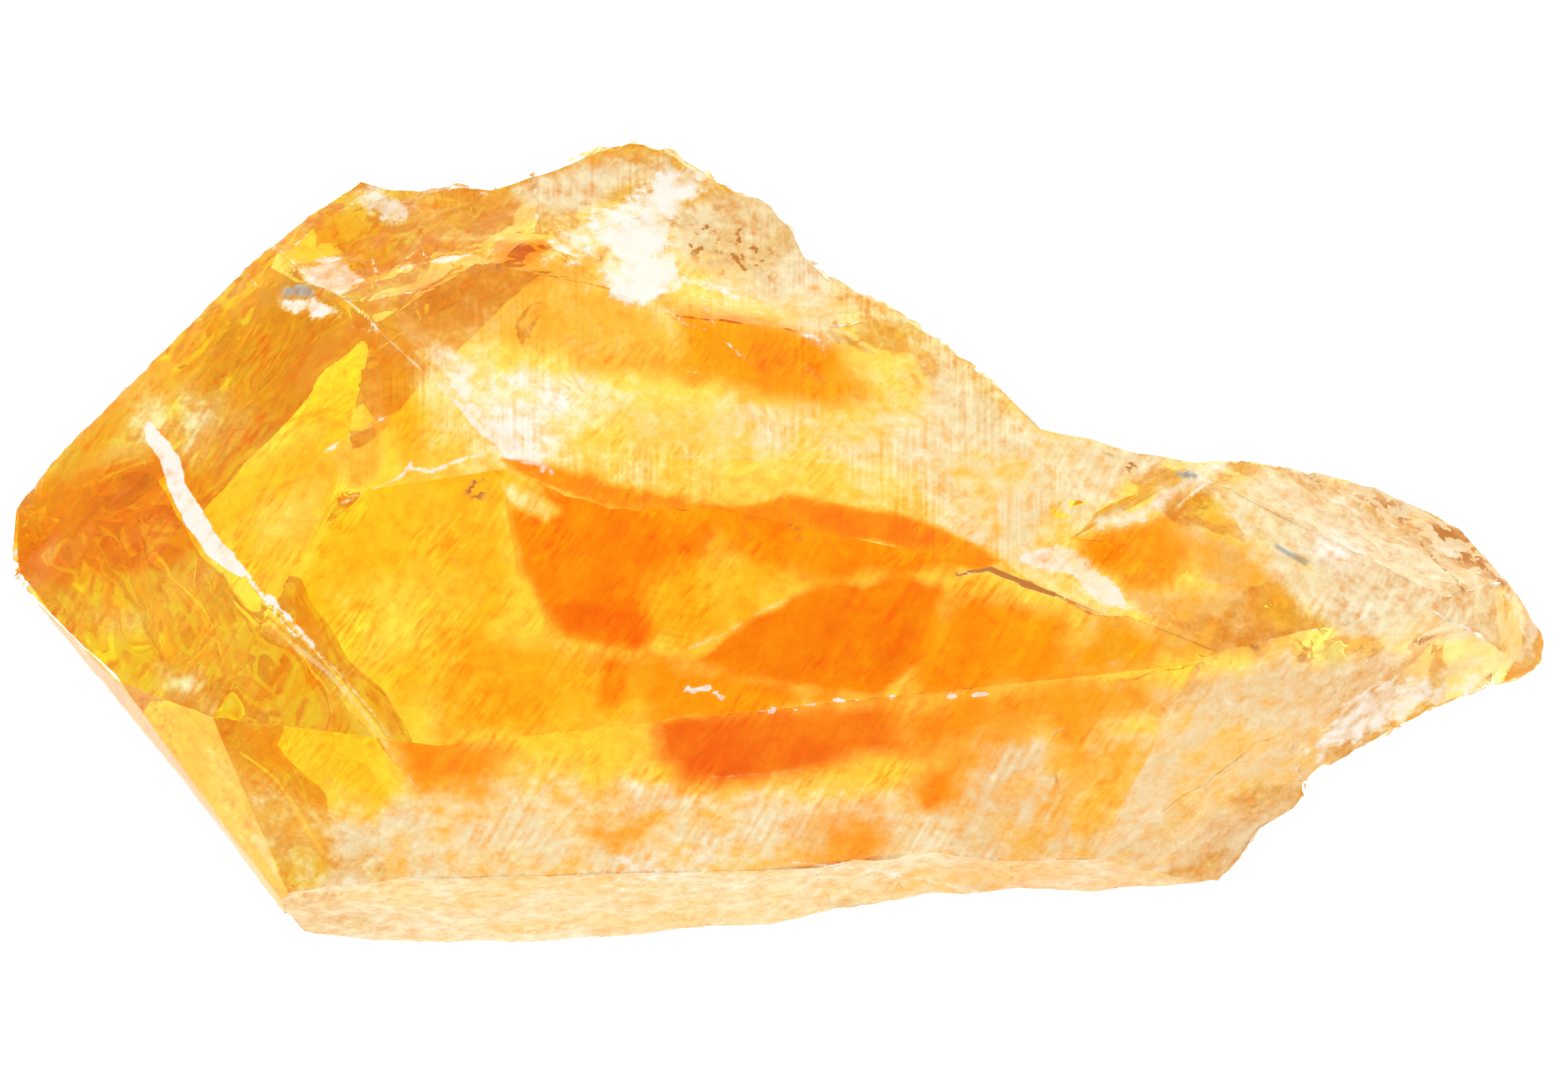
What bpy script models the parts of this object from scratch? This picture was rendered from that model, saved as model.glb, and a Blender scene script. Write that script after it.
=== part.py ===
"""A rough citrine crystal point, lying on one side.

The crystal is a single stone. Its tip points along -X, its broken root along +X, and it lies on a flat
face at Z = 0. Flat growth faces are cut from a block, the outline is trimmed where the stone was
chipped and broken, and shell-shaped fractures are scooped out of it.
"""

import math

import bmesh
import bpy
from mathutils import Vector, noise

MM = 0.001

# Driving sizes, in millimetres.
LENGTH = 50.0
WIDTH = 27.0
HEIGHT = 18.0
INSIDE = (-2.0, -2.0, 9.0)

# The rim narrows towards the bottom from this height, down to this share of the outline.
WAIST = 6.5
FOOT_SHARE = 0.72

# Corners of the growth faces, in millimetres, from the middle of the outline on the surface it lies on.
TIP = (-24.9, 0.0, 9.5)
SHOULDER = (-18.3, -5.7, 17.8)
COLLAR = (-14.4, 1.45, 15.9)
SPINE_BEND = (-11.0, -6.6, 17.75)
SPINE_END = (13.5, -4.0, 16.15)
BROW_LEFT = (-8.1, 2.25, 15.5)
BROW_RIGHT = (6.95, -0.7, 15.5)
CREST_LEFT = (-13.1, 7.1, 13.15)

# Each face of the upper side is the plane through three corners.
UPPER_FACES = {
    "tip face": (SHOULDER, COLLAR, TIP),
    "front prism face": (SHOULDER, COLLAR, SPINE_END),
    "collar face": (COLLAR, BROW_LEFT, CREST_LEFT),
    "pale face": (BROW_LEFT, BROW_RIGHT, (-5.0, 9.0, 11.1)),
    "crest face": ((-10.0, 9.0, 11.7), (4.0, 6.3, 11.7), (-5.0, 13.3, 6.4)),
    "crest chip": (CREST_LEFT, (-16.5, 9.4, 9.3), (-11.0, 11.5, 8.2)),
    "lower prism left": (SHOULDER, SPINE_BEND, (-14.0, -11.0, 14.5)),
    "lower prism face": (SPINE_BEND, SPINE_END, (-1.0, -10.9, 13.1)),
    "lower edge face": ((-10.0, -11.2, 13.6), (8.0, -10.3, 12.6), (-1.0, -12.8, 7.0)),
    "tip side face": (SHOULDER, (-22.4, -4.2, 14.0), (-16.5, -10.4, 14.5)),
    "tip rim face": ((-24.9, -1.4, 9.8), (-15.9, -12.6, 11.2), (-19.8, -6.7, 14.6)),
    "root face": ((12.9, 1.0, 13.1), (16.3, -2.8, 15.0), (20.0, 0.0, 11.4)),
    "root lower face": ((17.0, -8.0, 9.7), (22.9, -4.9, 8.9), (17.5, -4.5, 12.9)),
    "root end face": ((24.9, -3.2, 8.1), (24.2, -1.9, 9.1), (21.5, -3.0, 12.1)),
    "root upper face": ((15.3, 2.7, 9.8), (20.6, 1.3, 8.1), (18.2, 0.7, 10.8)),
}

# The ledge where the root end steps down: its floor and its riser.
LEDGE_FACES = {
    "ledge floor": ((6.9, -0.75, 15.6), (12.5, -3.0, 15.95), (13.8, 2.5, 11.6)),
    "ledge riser": ((8.8, -0.1, 14.8), (13.8, 2.5, 11.6), (11.0, 1.8, 13.6)),
}
LEDGE_INSIDE = (14.5, -0.5, 17.0)

# The lower faces run from the rim, at two points, to the edge of the flat that the stone lies on.
LOWER_FACES = {
    "under tip": ((-25.1, 1.5, 7.3), (-16.5, 10.1, 7.0), (-13.0, 1.5, 0.0)),
    "under tip side": ((-25.1, -1.2, 8.2), (-15.8, -13.0, 8.2), (-14.5, -5.0, 0.0)),
    "under lower left": ((-15.6, -13.5, 6.4), (0.3, -12.8, 6.4), (-6.0, -9.2, 0.0)),
    "under lower right": ((0.3, -12.9, 6.4), (15.1, -11.2, 7.0), (6.0, -7.8, 0.0)),
    "under root lower": ((15.3, -10.9, 7.4), (24.8, -4.7, 7.2), (14.0, -6.0, 0.0)),
    "under root end": ((25.1, -3.3, 7.0), (23.5, -0.5, 7.2), (15.5, -2.5, 0.0)),
    "under root upper": ((23.7, -0.4, 7.4), (18.9, 2.4, 7.6), (12.5, 1.0, 0.0)),
    "under slope": ((-4.3, 13.4, 5.0), (21.2, 1.2, 7.8), (6.0, 1.8, 0.0)),
    "under crest": ((-13.7, 12.0, 5.8), (-5.0, 13.5, 4.8), (-8.5, 8.4, 0.0)),
}

# The outline from above, in millimetres, clockwise from the tip.
OUTLINE = (
    (-24.9, -1.2), (-25.0, -0.3), (-24.85, 1.2), (-24.0, 2.4), (-22.6, 3.8), (-21.2, 5.2),
    (-19.3, 7.0), (-17.5, 8.8), (-16.5, 9.8), (-15.3, 10.8), (-13.7, 11.8), (-12.65, 11.5),
    (-11.6, 11.5), (-10.6, 11.65), (-9.35, 11.6), (-8.1, 12.1), (-7.1, 12.35), (-6.0, 12.9),
    (-5.0, 13.3), (-4.4, 13.15), (-3.25, 12.7), (-2.4, 12.1), (-1.5, 11.5), (-0.3, 11.0),
    (0.3, 10.35), (0.9, 9.4), (1.7, 8.65), (3.6, 7.8), (4.2, 7.3), (5.5, 6.3), (6.9, 5.15),
    (8.4, 3.75), (10.0, 3.45), (11.5, 2.95), (13.0, 2.75), (15.3, 2.7), (16.8, 2.4), (18.9, 1.95),
    (20.6, 1.3), (22.2, 0.4), (23.3, -0.7), (24.2, -1.95), (24.95, -3.2), (24.9, -4.0), (24.3, -4.6),
    (22.9, -4.9), (21.1, -5.7), (19.1, -6.8), (17.6, -7.5), (17.0, -8.0), (17.1, -8.3),
    (16.7, -8.75), (15.6, -9.6), (15.05, -10.5), (14.2, -11.2), (12.25, -11.4), (11.0, -11.4),
    (10.1, -11.6), (7.7, -11.5), (4.6, -11.7), (1.8, -12.1), (0.3, -12.5), (-0.7, -12.75),
    (-2.7, -12.8), (-5.0, -13.0), (-7.1, -13.15), (-10.1, -13.3), (-12.65, -13.2), (-15.6, -12.9),
    (-16.5, -11.7), (-19.0, -8.4), (-22.05, -4.6),
)

# Shell-shaped fractures: the face that each one bites, where its middle is, the radius of its bowl, how
# deep it goes, how much longer it is than wide and the compass angle of its long side.
FRACTURES = {
    "crest bowl": ("crest face", (-1.2, 9.6), 12.0, 0.75, 1.3, 0),
    "crest shell": ("crest face", (-5.6, 11.4), 8.0, 0.45, 1.2, 60),
    "crest notch": ("crest chip", (-9.6, 10.4), 6.0, 0.55, 1.2, 20),
    "crest corner": ("crest chip", (-13.2, 9.4), 7.0, 0.45, 1.1, 120),
    "brow": ("pale face", (-5.2, 4.0), 30.0, 0.35, 1.1, 10),
    "brow right": ("pale face", (4.4, 5.9), 16.0, 0.30, 1.4, 120),
    "ledge pit": ("ledge floor", (10.0, -1.2), 5.0, 0.25, 1.5, -20),
    "root hollow": ("root lower face", (19.6, -5.6), 7.0, 0.45, 1.7, 30),
    "root corner": ("root lower face", (15.4, -8.6), 6.0, 0.45, 1.2, 60),
    "root rim": ("root upper face", (19.4, 0.7), 9.0, 0.35, 1.5, -20),
    "lower edge": ("lower edge face", (3.4, -11.2), 9.0, 0.40, 1.6, 0),
    "tip nick": ("tip face", (-24.4, -0.6), 3.0, 0.14, 1.2, 90),
    "under tip": ("under tip", (-18.6, 4.2), 13.0, 0.8, 1.3, 40),
    "under tip side": ("under tip side", (-17.8, -7.0), 16.0, 0.6, 1.2, 120),
    "under lower": ("under lower left", (-4.6, -10.9), 12.0, 0.5, 1.6, 0),
    "under root": ("under root end", (19.5, -2.4), 11.0, 0.8, 1.2, 80),
    "under slope": ("under slope", (7.2, 4.4), 12.0, 1.0, 1.3, 150),
    "under crest": ("under crest", (-9.8, 10.4), 9.0, 0.6, 1.3, 10),
}
LIP = 1.0
RIPPLE = 0.045
RIPPLE_GAP = 1.5
DISH_RINGS = 12
DISH_STEPS = 30


def at(point):
    """A point in millimetres as a vector in metres."""
    return Vector(point) * MM


def plane_through(corners, inside):
    """The first corner and the unit normal of the plane through three corners, facing away from inside."""
    a, b, c = (at(corner) for corner in corners)
    normal = (b - a).cross(c - a).normalized()
    if normal.dot(at(inside) - a) > 0:
        normal.negate()
    return a, normal


def clear_scene():
    for old in list(bpy.data.objects):
        bpy.data.objects.remove(old)


def new_collection(name):
    made = bpy.data.collections.new(name)
    bpy.context.scene.collection.children.link(made)
    return made


def citrine_material():
    made = bpy.data.materials.new("citrine")
    made.use_nodes = True
    shader = made.node_tree.nodes["Principled BSDF"]
    shader.inputs["Base Color"].default_value = (1.0, 0.52, 0.10, 1.0)
    shader.inputs["Roughness"].default_value = 0.08
    shader.inputs["Metallic"].default_value = 0.0
    shader.inputs["IOR"].default_value = 1.544
    shader.inputs["Transmission Weight"].default_value = 0.9
    return made


def place(name, mesh, collection):
    made = bpy.data.objects.new(name, mesh)
    collection.objects.link(made)
    return made


def block_between(name, faces, inside, collection):
    """A block with a flat cut along every face, which keeps the side that inside is on."""
    bm = bmesh.new()
    bmesh.ops.create_cube(bm, size=1.0)
    size = Vector((LENGTH + 4, WIDTH + 4, HEIGHT + 2)) * MM
    bmesh.ops.scale(bm, vec=size, verts=bm.verts)
    bmesh.ops.translate(bm, vec=(0, 0, size.z / 2), verts=bm.verts)
    for corners in faces:
        point, normal = plane_through(corners, inside)
        geometry = bm.verts[:] + bm.edges[:] + bm.faces[:]
        cut = bmesh.ops.bisect_plane(
            bm, geom=geometry, plane_co=point, plane_no=normal, clear_outer=True
        )
        rim = [piece for piece in cut["geom_cut"] if isinstance(piece, bmesh.types.BMEdge)]
        bmesh.ops.edgeloop_fill(bm, edges=rim)
    bmesh.ops.recalc_face_normals(bm, faces=bm.faces)
    mesh = bpy.data.meshes.new(name)
    bm.to_mesh(mesh)
    bm.free()
    return place(name, mesh, collection)


def outline_block(collection):
    """An upright block with the stone's outline, which trims the broken rim and narrows towards the bottom."""
    curve = bpy.data.curves.new("outline", "CURVE")
    curve.dimensions = "2D"
    curve.fill_mode = "BOTH"
    curve.extrude = HEIGHT * MM
    line = curve.splines.new("POLY")
    line.points.add(len(OUTLINE) - 1)
    for point, (x, y) in zip(line.points, OUTLINE):
        point.co = (x * MM, y * MM, 0.0, 1.0)
    line.use_cyclic_u = True
    drawn = place("outline_curve", curve, collection)
    drawn.location.z = (HEIGHT + WAIST) * MM
    bpy.context.view_layer.update()
    graph = bpy.context.evaluated_depsgraph_get()
    mesh = bpy.data.meshes.new_from_object(drawn.evaluated_get(graph))
    mesh.transform(drawn.matrix_world)
    bpy.data.objects.remove(drawn)
    bm = bmesh.new()
    bm.from_mesh(mesh)
    bmesh.ops.remove_doubles(bm, verts=bm.verts, dist=0.001 * MM)
    bmesh.ops.recalc_face_normals(bm, faces=bm.faces)
    low = [face for face in bm.faces if face.normal.z < -0.9]
    pulled = bmesh.ops.extrude_face_region(bm, geom=low)
    bmesh.ops.delete(bm, geom=low, context="FACES")
    for vert in (piece for piece in pulled["geom"] if isinstance(piece, bmesh.types.BMVert)):
        vert.co = (vert.co.x * FOOT_SHARE, vert.co.y * FOOT_SHARE, -1.0 * MM)
    bmesh.ops.recalc_face_normals(bm, faces=bm.faces)
    bm.to_mesh(mesh)
    bm.free()
    return place("outline_block", mesh, collection)


def fracture_bowl(name, face, middle, radius, depth, stretch, compass, collection):
    """A ball pressed into a rippled dish with a domed lid, which bites a shell-shaped hollow out of a face."""
    faces = {**UPPER_FACES, **LOWER_FACES, **LEDGE_FACES}
    point, normal = plane_through(faces[face], INSIDE)
    x, y = middle[0] * MM, middle[1] * MM
    z = point.z - (normal.x * (x - point.x) + normal.y * (y - point.y)) / normal.z
    along = Vector((math.cos(math.radians(compass)), math.sin(math.radians(compass)), 0.0))
    along = (along - normal * along.dot(normal)).normalized()
    across = normal.cross(along)
    reach = math.sqrt(2 * radius * (depth + LIP))
    bm = bmesh.new()
    bmesh.ops.create_uvsphere(bm, u_segments=DISH_STEPS, v_segments=2 * DISH_RINGS, radius=1.0)
    for vert in bm.verts:
        turn = math.atan2(vert.co.y, vert.co.x)
        share = 1.0 - math.asin(min(1.0, abs(vert.co.z))) * 2 / math.pi
        u, v = reach * share * math.cos(turn), reach * share * math.sin(turn)
        rise = reach * reach * share * share / (2 * radius) - depth
        if vert.co.z > 0.001:
            rise = LIP + 2.0 * (1.0 - share)
        else:
            rise += RIPPLE * math.sin(2 * math.pi * math.hypot(u - 1.2 * reach, v) / RIPPLE_GAP)
            rise += 0.45 * depth * noise.noise(Vector((u * 0.4, v * 0.4, radius)))
        vert.co = (u * stretch * along + v * across + rise * normal) * MM
    mesh = bpy.data.meshes.new(name)
    bm.to_mesh(mesh)
    bm.free()
    bowl = place(name, mesh, collection)
    bowl.location = (x, y, z)
    return bowl


def cut_with(stone, tool, operation):
    tool.hide_render = True
    tool.display_type = "WIRE"
    cut = stone.modifiers.new(tool.name, "BOOLEAN")
    cut.operation = operation
    cut.solver = "EXACT"
    cut.object = tool


def citrine_point():
    clear_scene()
    parts = new_collection("citrine crystal point")
    tools = new_collection("cutting tools")
    faces = list(UPPER_FACES.values()) + list(LOWER_FACES.values())
    stone = block_between("citrine_point", faces, INSIDE, parts)
    cut_with(stone, outline_block(tools), "INTERSECT")
    ledge = block_between("ledge", LEDGE_FACES.values(), LEDGE_INSIDE, tools)
    cut_with(stone, ledge, "DIFFERENCE")
    for name, bite in FRACTURES.items():
        cut_with(stone, fracture_bowl(f"{name} fracture", *bite, tools), "DIFFERENCE")
    stone.data.materials.append(citrine_material())
    return stone


citrine_point()
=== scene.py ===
import math

import bmesh
import bpy
import numpy as np
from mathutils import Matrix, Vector


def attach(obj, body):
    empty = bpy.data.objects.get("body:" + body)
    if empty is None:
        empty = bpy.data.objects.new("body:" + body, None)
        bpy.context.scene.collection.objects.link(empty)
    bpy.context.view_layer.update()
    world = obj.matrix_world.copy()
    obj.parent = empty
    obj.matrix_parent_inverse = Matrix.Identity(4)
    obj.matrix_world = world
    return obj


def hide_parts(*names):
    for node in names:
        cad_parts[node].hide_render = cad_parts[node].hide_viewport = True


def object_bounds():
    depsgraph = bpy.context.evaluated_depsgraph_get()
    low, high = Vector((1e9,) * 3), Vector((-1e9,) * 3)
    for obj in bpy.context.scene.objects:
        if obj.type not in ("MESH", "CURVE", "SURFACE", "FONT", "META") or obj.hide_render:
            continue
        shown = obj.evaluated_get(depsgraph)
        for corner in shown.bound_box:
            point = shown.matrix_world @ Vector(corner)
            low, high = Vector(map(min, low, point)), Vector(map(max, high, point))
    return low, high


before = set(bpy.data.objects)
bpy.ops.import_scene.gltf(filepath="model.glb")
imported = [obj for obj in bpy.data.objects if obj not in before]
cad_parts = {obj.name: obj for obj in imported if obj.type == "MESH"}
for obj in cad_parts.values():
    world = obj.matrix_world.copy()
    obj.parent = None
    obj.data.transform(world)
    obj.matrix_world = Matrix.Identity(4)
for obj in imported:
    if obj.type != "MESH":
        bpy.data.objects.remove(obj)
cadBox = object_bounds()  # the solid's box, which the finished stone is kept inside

mm = 0.001
tiny = 1e-20  # keeps a length of nothing from being divided by


# Shader sums are written as Python sums: a Socket stands for a node's output.
class Socket:
    def __init__(self, graph, output):
        self.graph, self.output = graph, output

    def sum(self, operation, *values):
        return self.graph.add("ShaderNodeMath", {"operation": operation}, dict(enumerate(values)))

    def __add__(self, other):
        return self.sum("ADD", self, other)

    def __sub__(self, other):
        return self.sum("SUBTRACT", self, other)

    def __rsub__(self, other):
        return self.sum("SUBTRACT", other, self)

    def __mul__(self, other):
        return self.sum("MULTIPLY", self, other)

    __radd__, __rmul__ = __add__, __mul__  # sums and products are the same either way round

    def least(self, other):
        return self.sum("MINIMUM", self, other)

    def most(self, other):
        return self.sum("MAXIMUM", self, other)

    def rise(self, low, high):  # 0 below low, 1 above high, smooth between
        return self.graph.add("ShaderNodeMapRange", {"interpolation_type": "SMOOTHSTEP"},
                              {"Value": self, "From Min": low, "From Max": high})


class Graph:  # one material's nodes
    def __init__(self, name):
        self.material = bpy.data.materials.new(name)
        self.material.use_nodes = True
        self.nodes, self.links = self.material.node_tree.nodes, self.material.node_tree.links
        self.nodes.clear()
        self.end = self.nodes.new("ShaderNodeOutputMaterial")

    def add(self, kind, settings=None, inputs=None, output=0):
        node = self.nodes.new(kind)
        for key, value in (settings or {}).items():
            setattr(node, key, value)
        for key, value in (inputs or {}).items():
            if isinstance(value, Socket):
                self.links.new(value.output, node.inputs[key])
            else:
                node.inputs[key].default_value = value
        return Socket(self, node.outputs[output])

    def noise(self, where, scale, detail, roughness=0.55):
        return self.add("ShaderNodeTexNoise", None, {
            "Vector": where, "Scale": scale, "Detail": detail, "Roughness": roughness})

    def mix(self, share, first, second, way="MIX"):  # colours
        return self.add("ShaderNodeMix", {"data_type": "RGBA", "blend_type": way},
                        {0: share, 6: first, 7: second}, 2)

    def stretched(self, where, lengthsMm, lean):  # noise drawn out along a lean from the x axis
        return self.add("ShaderNodeMapping", {"vector_type": "TEXTURE"}, {
            "Vector": where, "Scale": [x * mm for x in lengthsMm], "Rotation": (0, 0, math.radians(lean))})

    def principled(self, inputs):
        return self.add("ShaderNodeBsdfPrincipled", None, inputs)

    def finish(self, surface, volume=None):
        self.links.new(surface.output, self.end.inputs["Surface"])
        if volume:
            self.links.new(volume.output, self.end.inputs["Volume"])
        return self.material


print("stage: camera and lights")

plainWhite = (1.0, 1.0, 1.0, 1.0)

topView = {
    "widthMm": 50.82,
    "centreMm": (0.06, -0.11, 9.0),
    "lens": 500.0,
    "sensor": 36.0,
    "clip": (0.01, 10.0),  # in metres
}


def placeCamera(view):
    # The camera looks straight down from width times lens over sensor, so that width fills the picture.
    camera = bpy.data.cameras.new("camera")
    camera.lens, camera.sensor_width = view["lens"], view["sensor"]
    distance = view["widthMm"] * mm * view["lens"] / view["sensor"]
    holder = bpy.data.objects.new("camera", camera)
    holder.location = Vector(view["centreMm"]) * mm + Vector((0, 0, distance))
    camera.clip_start, camera.clip_end = view["clip"]
    bpy.context.scene.collection.objects.link(holder)
    bpy.context.scene.camera = holder


studio = {
    "sky": 0.89,
    "floorColour": (0.45, 0.45, 0.44, 1.0),
    "floorGlow": 0.93,
    "floorReach": 4.0,
    "aim": (0, 0, 0.008),
    # name: place in metres, size in metres, power in watts
    "lights": {
        "overhead softbox": ((0.0, -0.45, 1.0), 1.0, 0.5),
        "back softbox": ((0.05, 0.60, 0.30), 0.40, 0.3),
    },
    "cycles": {
        "max_bounces": 10,
        "transmission_bounces": 10,
        "glossy_bounces": 8,
        "diffuse_bounces": 3,
        "transparent_max_bounces": 8,
        "sample_clamp_indirect": 6.0,
        "blur_glossy": 0.0,  # a blurred glass would lose light inside the stone
    },
}


def lightStudio(setting):
    scene = bpy.context.scene
    scene.world = bpy.data.worlds.new("studio")
    scene.world.use_nodes = True
    sky = scene.world.node_tree.nodes["Background"]
    sky.inputs["Color"].default_value = plainWhite
    sky.inputs["Strength"].default_value = setting["sky"]
    scene.world.cycles.sampling_method = "NONE"
    for name, (place, size, power) in setting["lights"].items():
        lamp = bpy.data.lights.new(name, "AREA")
        lamp.size, lamp.energy = size, power
        lamp.cycles.max_bounces = 1  # no lamp is looked for from inside the stone
        holder = bpy.data.objects.new(name, lamp)
        holder.location = place
        holder.rotation_euler = (Vector(setting["aim"]) - Vector(place)).to_track_quat("-Z", "Y").to_euler()
        scene.collection.objects.link(holder)


def layFloor(setting):
    graph = Graph("floor")
    surface = graph.principled({
        "Base Color": setting["floorColour"], "Roughness": 0.7, "Specular IOR Level": 0.2,
        "Emission Color": plainWhite, "Emission Strength": setting["floorGlow"]})
    graph.material.cycles.emission_sampling = "NONE"
    mesh = bpy.data.meshes.new("floor")
    reach = setting["floorReach"]
    corners = [(-reach, -reach, 0), (reach, -reach, 0), (reach, reach, 0), (-reach, reach, 0)]
    mesh.from_pydata(corners, [], [(0, 1, 2, 3)])
    mesh.materials.append(graph.finish(surface))
    floor = bpy.data.objects.new("floor", mesh)
    bpy.context.scene.collection.objects.link(floor)


def setRender(setting):
    scene = bpy.context.scene
    scene.view_settings.view_transform = "Standard"
    for key, value in setting["cycles"].items():
        setattr(scene.cycles, key, value)


placeCamera(topView)
lightStudio(studio)
layFloor(studio)
setRender(studio)

print("stage: stone")

stone = {
    # length of the triangles' edges on top, underneath and along a drawn line, in mm
    "topCell": 0.34,
    "underCell": 1.0,
    "lineCell": 0.16,
    "cellGrowth": 0.9,  # how fast the edges grow longer away from a line
    "reach": 1,  # how far from a line they are shorter, in mm
    "slack": 1.35,  # an edge this much too long is halved
    "rounds": 12,  # most rounds of halving
    "narrowSoft": 0.3,  # a patch with a softer edge than this needs no shorter triangles
    "narrowWidth": 0.1,  # what a narrow patch's edge is taken as, in mm
    "topSlope": 0.1,  # a triangle is on top when its normal rises more than this
    "sharpAngle": 22,  # between faces that are shaded apart, in degrees
    # depth of each kind of relief, in mm
    "edgeWear": 0.12,
    "topWaves": 0.05,
    "crestRough": 0.16,
    "underRelief": 0.34,
    "rootWaves": 0.08,
    "deepest": 1.2,
}

# Noise over the stone: how fine it is per mm, its seed and its layers.
patterns = {
    "ragged": (0.9, 5, 4),
    "fineRagged": (4.0, 65, 2),
    "hatch": (0.8, 91, 3),
    "blotch": (0.75, 75, 3),
    "wear": (1.1, 11, 3),
    "waves": (0.30, 21, 3),
    "broken": (1.3, 31, 4),
    "steps": (0.33, 41, 3),
    "rootWaves": (0.8, 51, 3),
}

# Whole numbers that scramble a lattice corner's place into its height.
scramble = {"place": (374761393, 668265263, 2147483647), "seed": 144665, "mix": 1274126177, "top": 0xFFFFFFFF}
seedShift = 17.31


def eased(x):
    # 0 below 0, 1 above 1, and 3 x squared less 2 x cubed between.
    x = np.clip(x, 0, 1)
    return x * x * (3 - 2 * x)


def cornerHeights(cells, seed):
    # A height from -1 to 1 for each lattice corner, scrambled from its place and the seed.
    top = scramble["top"]
    h = (cells @ np.array(scramble["place"]) + seed * scramble["seed"]) & top
    h = ((h ^ (h >> 13)) * scramble["mix"]) & top
    return (h ^ (h >> 16)) / top * 2 - 1


def latticeNoise(points, scale, seed):
    # Smooth noise from -1 to 1: a point between eight lattice corners takes the blend of their heights,
    # with eased weights.
    place = points * scale + seed * seedShift
    cell = np.floor(place).astype(np.int64)
    share = eased(place - cell)
    total = np.zeros(len(place))
    for corner in range(8):
        step = np.array([corner & 1, corner >> 1 & 1, corner >> 2 & 1])
        total += cornerHeights(cell + step, seed) * np.prod(np.where(step, share, 1 - share), axis=1)
    return total


def fractalNoise(points, scale, seed, layers):
    # Layers of lattice noise, each twice as fine and half as high as the one before.
    return sum(latticeNoise(points, scale * 2 ** k, seed + k) / 2 ** k for k in range(layers))


def pattern(name, points):
    return fractalNoise(points, *patterns[name])


def plainCopy(node):
    # The solid as triangles in mm, with the seams inside its flat faces dissolved first.
    bm = bmesh.new()
    bm.from_mesh(node.data)
    bmesh.ops.remove_doubles(bm, verts=bm.verts, dist=0.002 * mm)
    bmesh.ops.dissolve_limit(bm, angle_limit=0.003, verts=bm.verts, edges=bm.edges)
    bmesh.ops.triangulate(bm, faces=bm.faces)
    bm.verts.index_update()
    points = np.array([v.co for v in bm.verts])
    faces = np.array([[v.index for v in f.verts] for f in bm.faces])
    bm.free()
    return points / mm, faces


def lineGap(x, y, line):
    # The distance from each point to a line of straight pieces, and how far along it that is, from 0 to 1.
    line = np.array(line)
    lengths = np.hypot(*np.diff(line, axis=0).T)
    starts = np.concatenate([[0], np.cumsum(lengths)])
    best, along = np.full(len(x), np.inf), np.zeros(len(x))
    for k, (a, b) in enumerate(zip(line[:-1], line[1:])):
        t = np.clip(((x - a[0]) * (b[0] - a[0]) + (y - a[1]) * (b[1] - a[1])) / lengths[k] ** 2, 0, 1)
        gap = np.hypot(x - a[0] - t * (b[0] - a[0]), y - a[1] - t * (b[1] - a[1]))
        nearer = gap < best
        best = np.where(nearer, gap, best)
        along = np.where(nearer, (starts[k] + t * lengths[k]) / starts[-1], along)
    return best, along


def outlineGap(x, y, outline):
    # The distance to a closed outline, less than 0 inside it. A point is inside when a ray from it
    # crosses the outline an odd number of times.
    closed = list(outline) + [outline[0]]
    gap, _ = lineGap(x, y, closed)
    inside = np.zeros(len(x), dtype=bool)
    for (ax, ay), (bx, by) in zip(closed[:-1], closed[1:]):
        if ay != by:
            inside ^= ((ay > y) != (by > y)) & (x < ax + (y - ay) * (bx - ax) / (by - ay))
    return np.where(inside, -gap, gap)


def faceNormals(points, faces):
    # The cross product of two edges: its direction, and its length, which goes with the area.
    a, b, c = (points[faces[:, k]] for k in range(3))
    cross = np.cross(b - a, c - a)
    area = np.linalg.norm(cross, axis=1, keepdims=True)
    return cross / np.maximum(area, tiny), area[:, 0]


def pointSum(values, faces, count):
    # For each point, the sum of the values of the triangles that it is in.
    total = np.zeros((count,) + values.shape[1:])
    for k in range(3):
        np.add.at(total, faces[:, k], values)
    return total


def pointMean(values, faces, count):
    return pointSum(values, faces, count) / np.maximum(pointSum(np.ones(len(faces)), faces, count), 1)


def pointNormals(points, faces):
    # The mean normal of the triangles round each point, weighed by their area.
    normals, area = faceNormals(points, faces)
    total = pointSum(normals * area[:, None], faces, len(points))
    return total / np.maximum(np.linalg.norm(total, axis=1, keepdims=True), tiny)


def edgeSharpness(points, faces):
    # For each point, how far the faces round it turn from their mean direction: 0 flat, 1 sharp.
    normals, _ = faceNormals(points, faces)
    mean = pointNormals(points, faces)
    least = np.ones(len(points))
    for k in range(3):
        np.minimum.at(least, faces[:, k], np.sum(normals * mean[faces[:, k]], axis=1))
    return np.clip((1 - least) * 6, 0, 1)


def spread(values, faces, rounds=2):
    # In each round a point goes half the way to the mean of the triangles that it is in.
    for _ in range(rounds):
        values = values * 0.5 + pointMean(values[faces].mean(1), faces, len(values)) * 0.5
    return values


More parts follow.
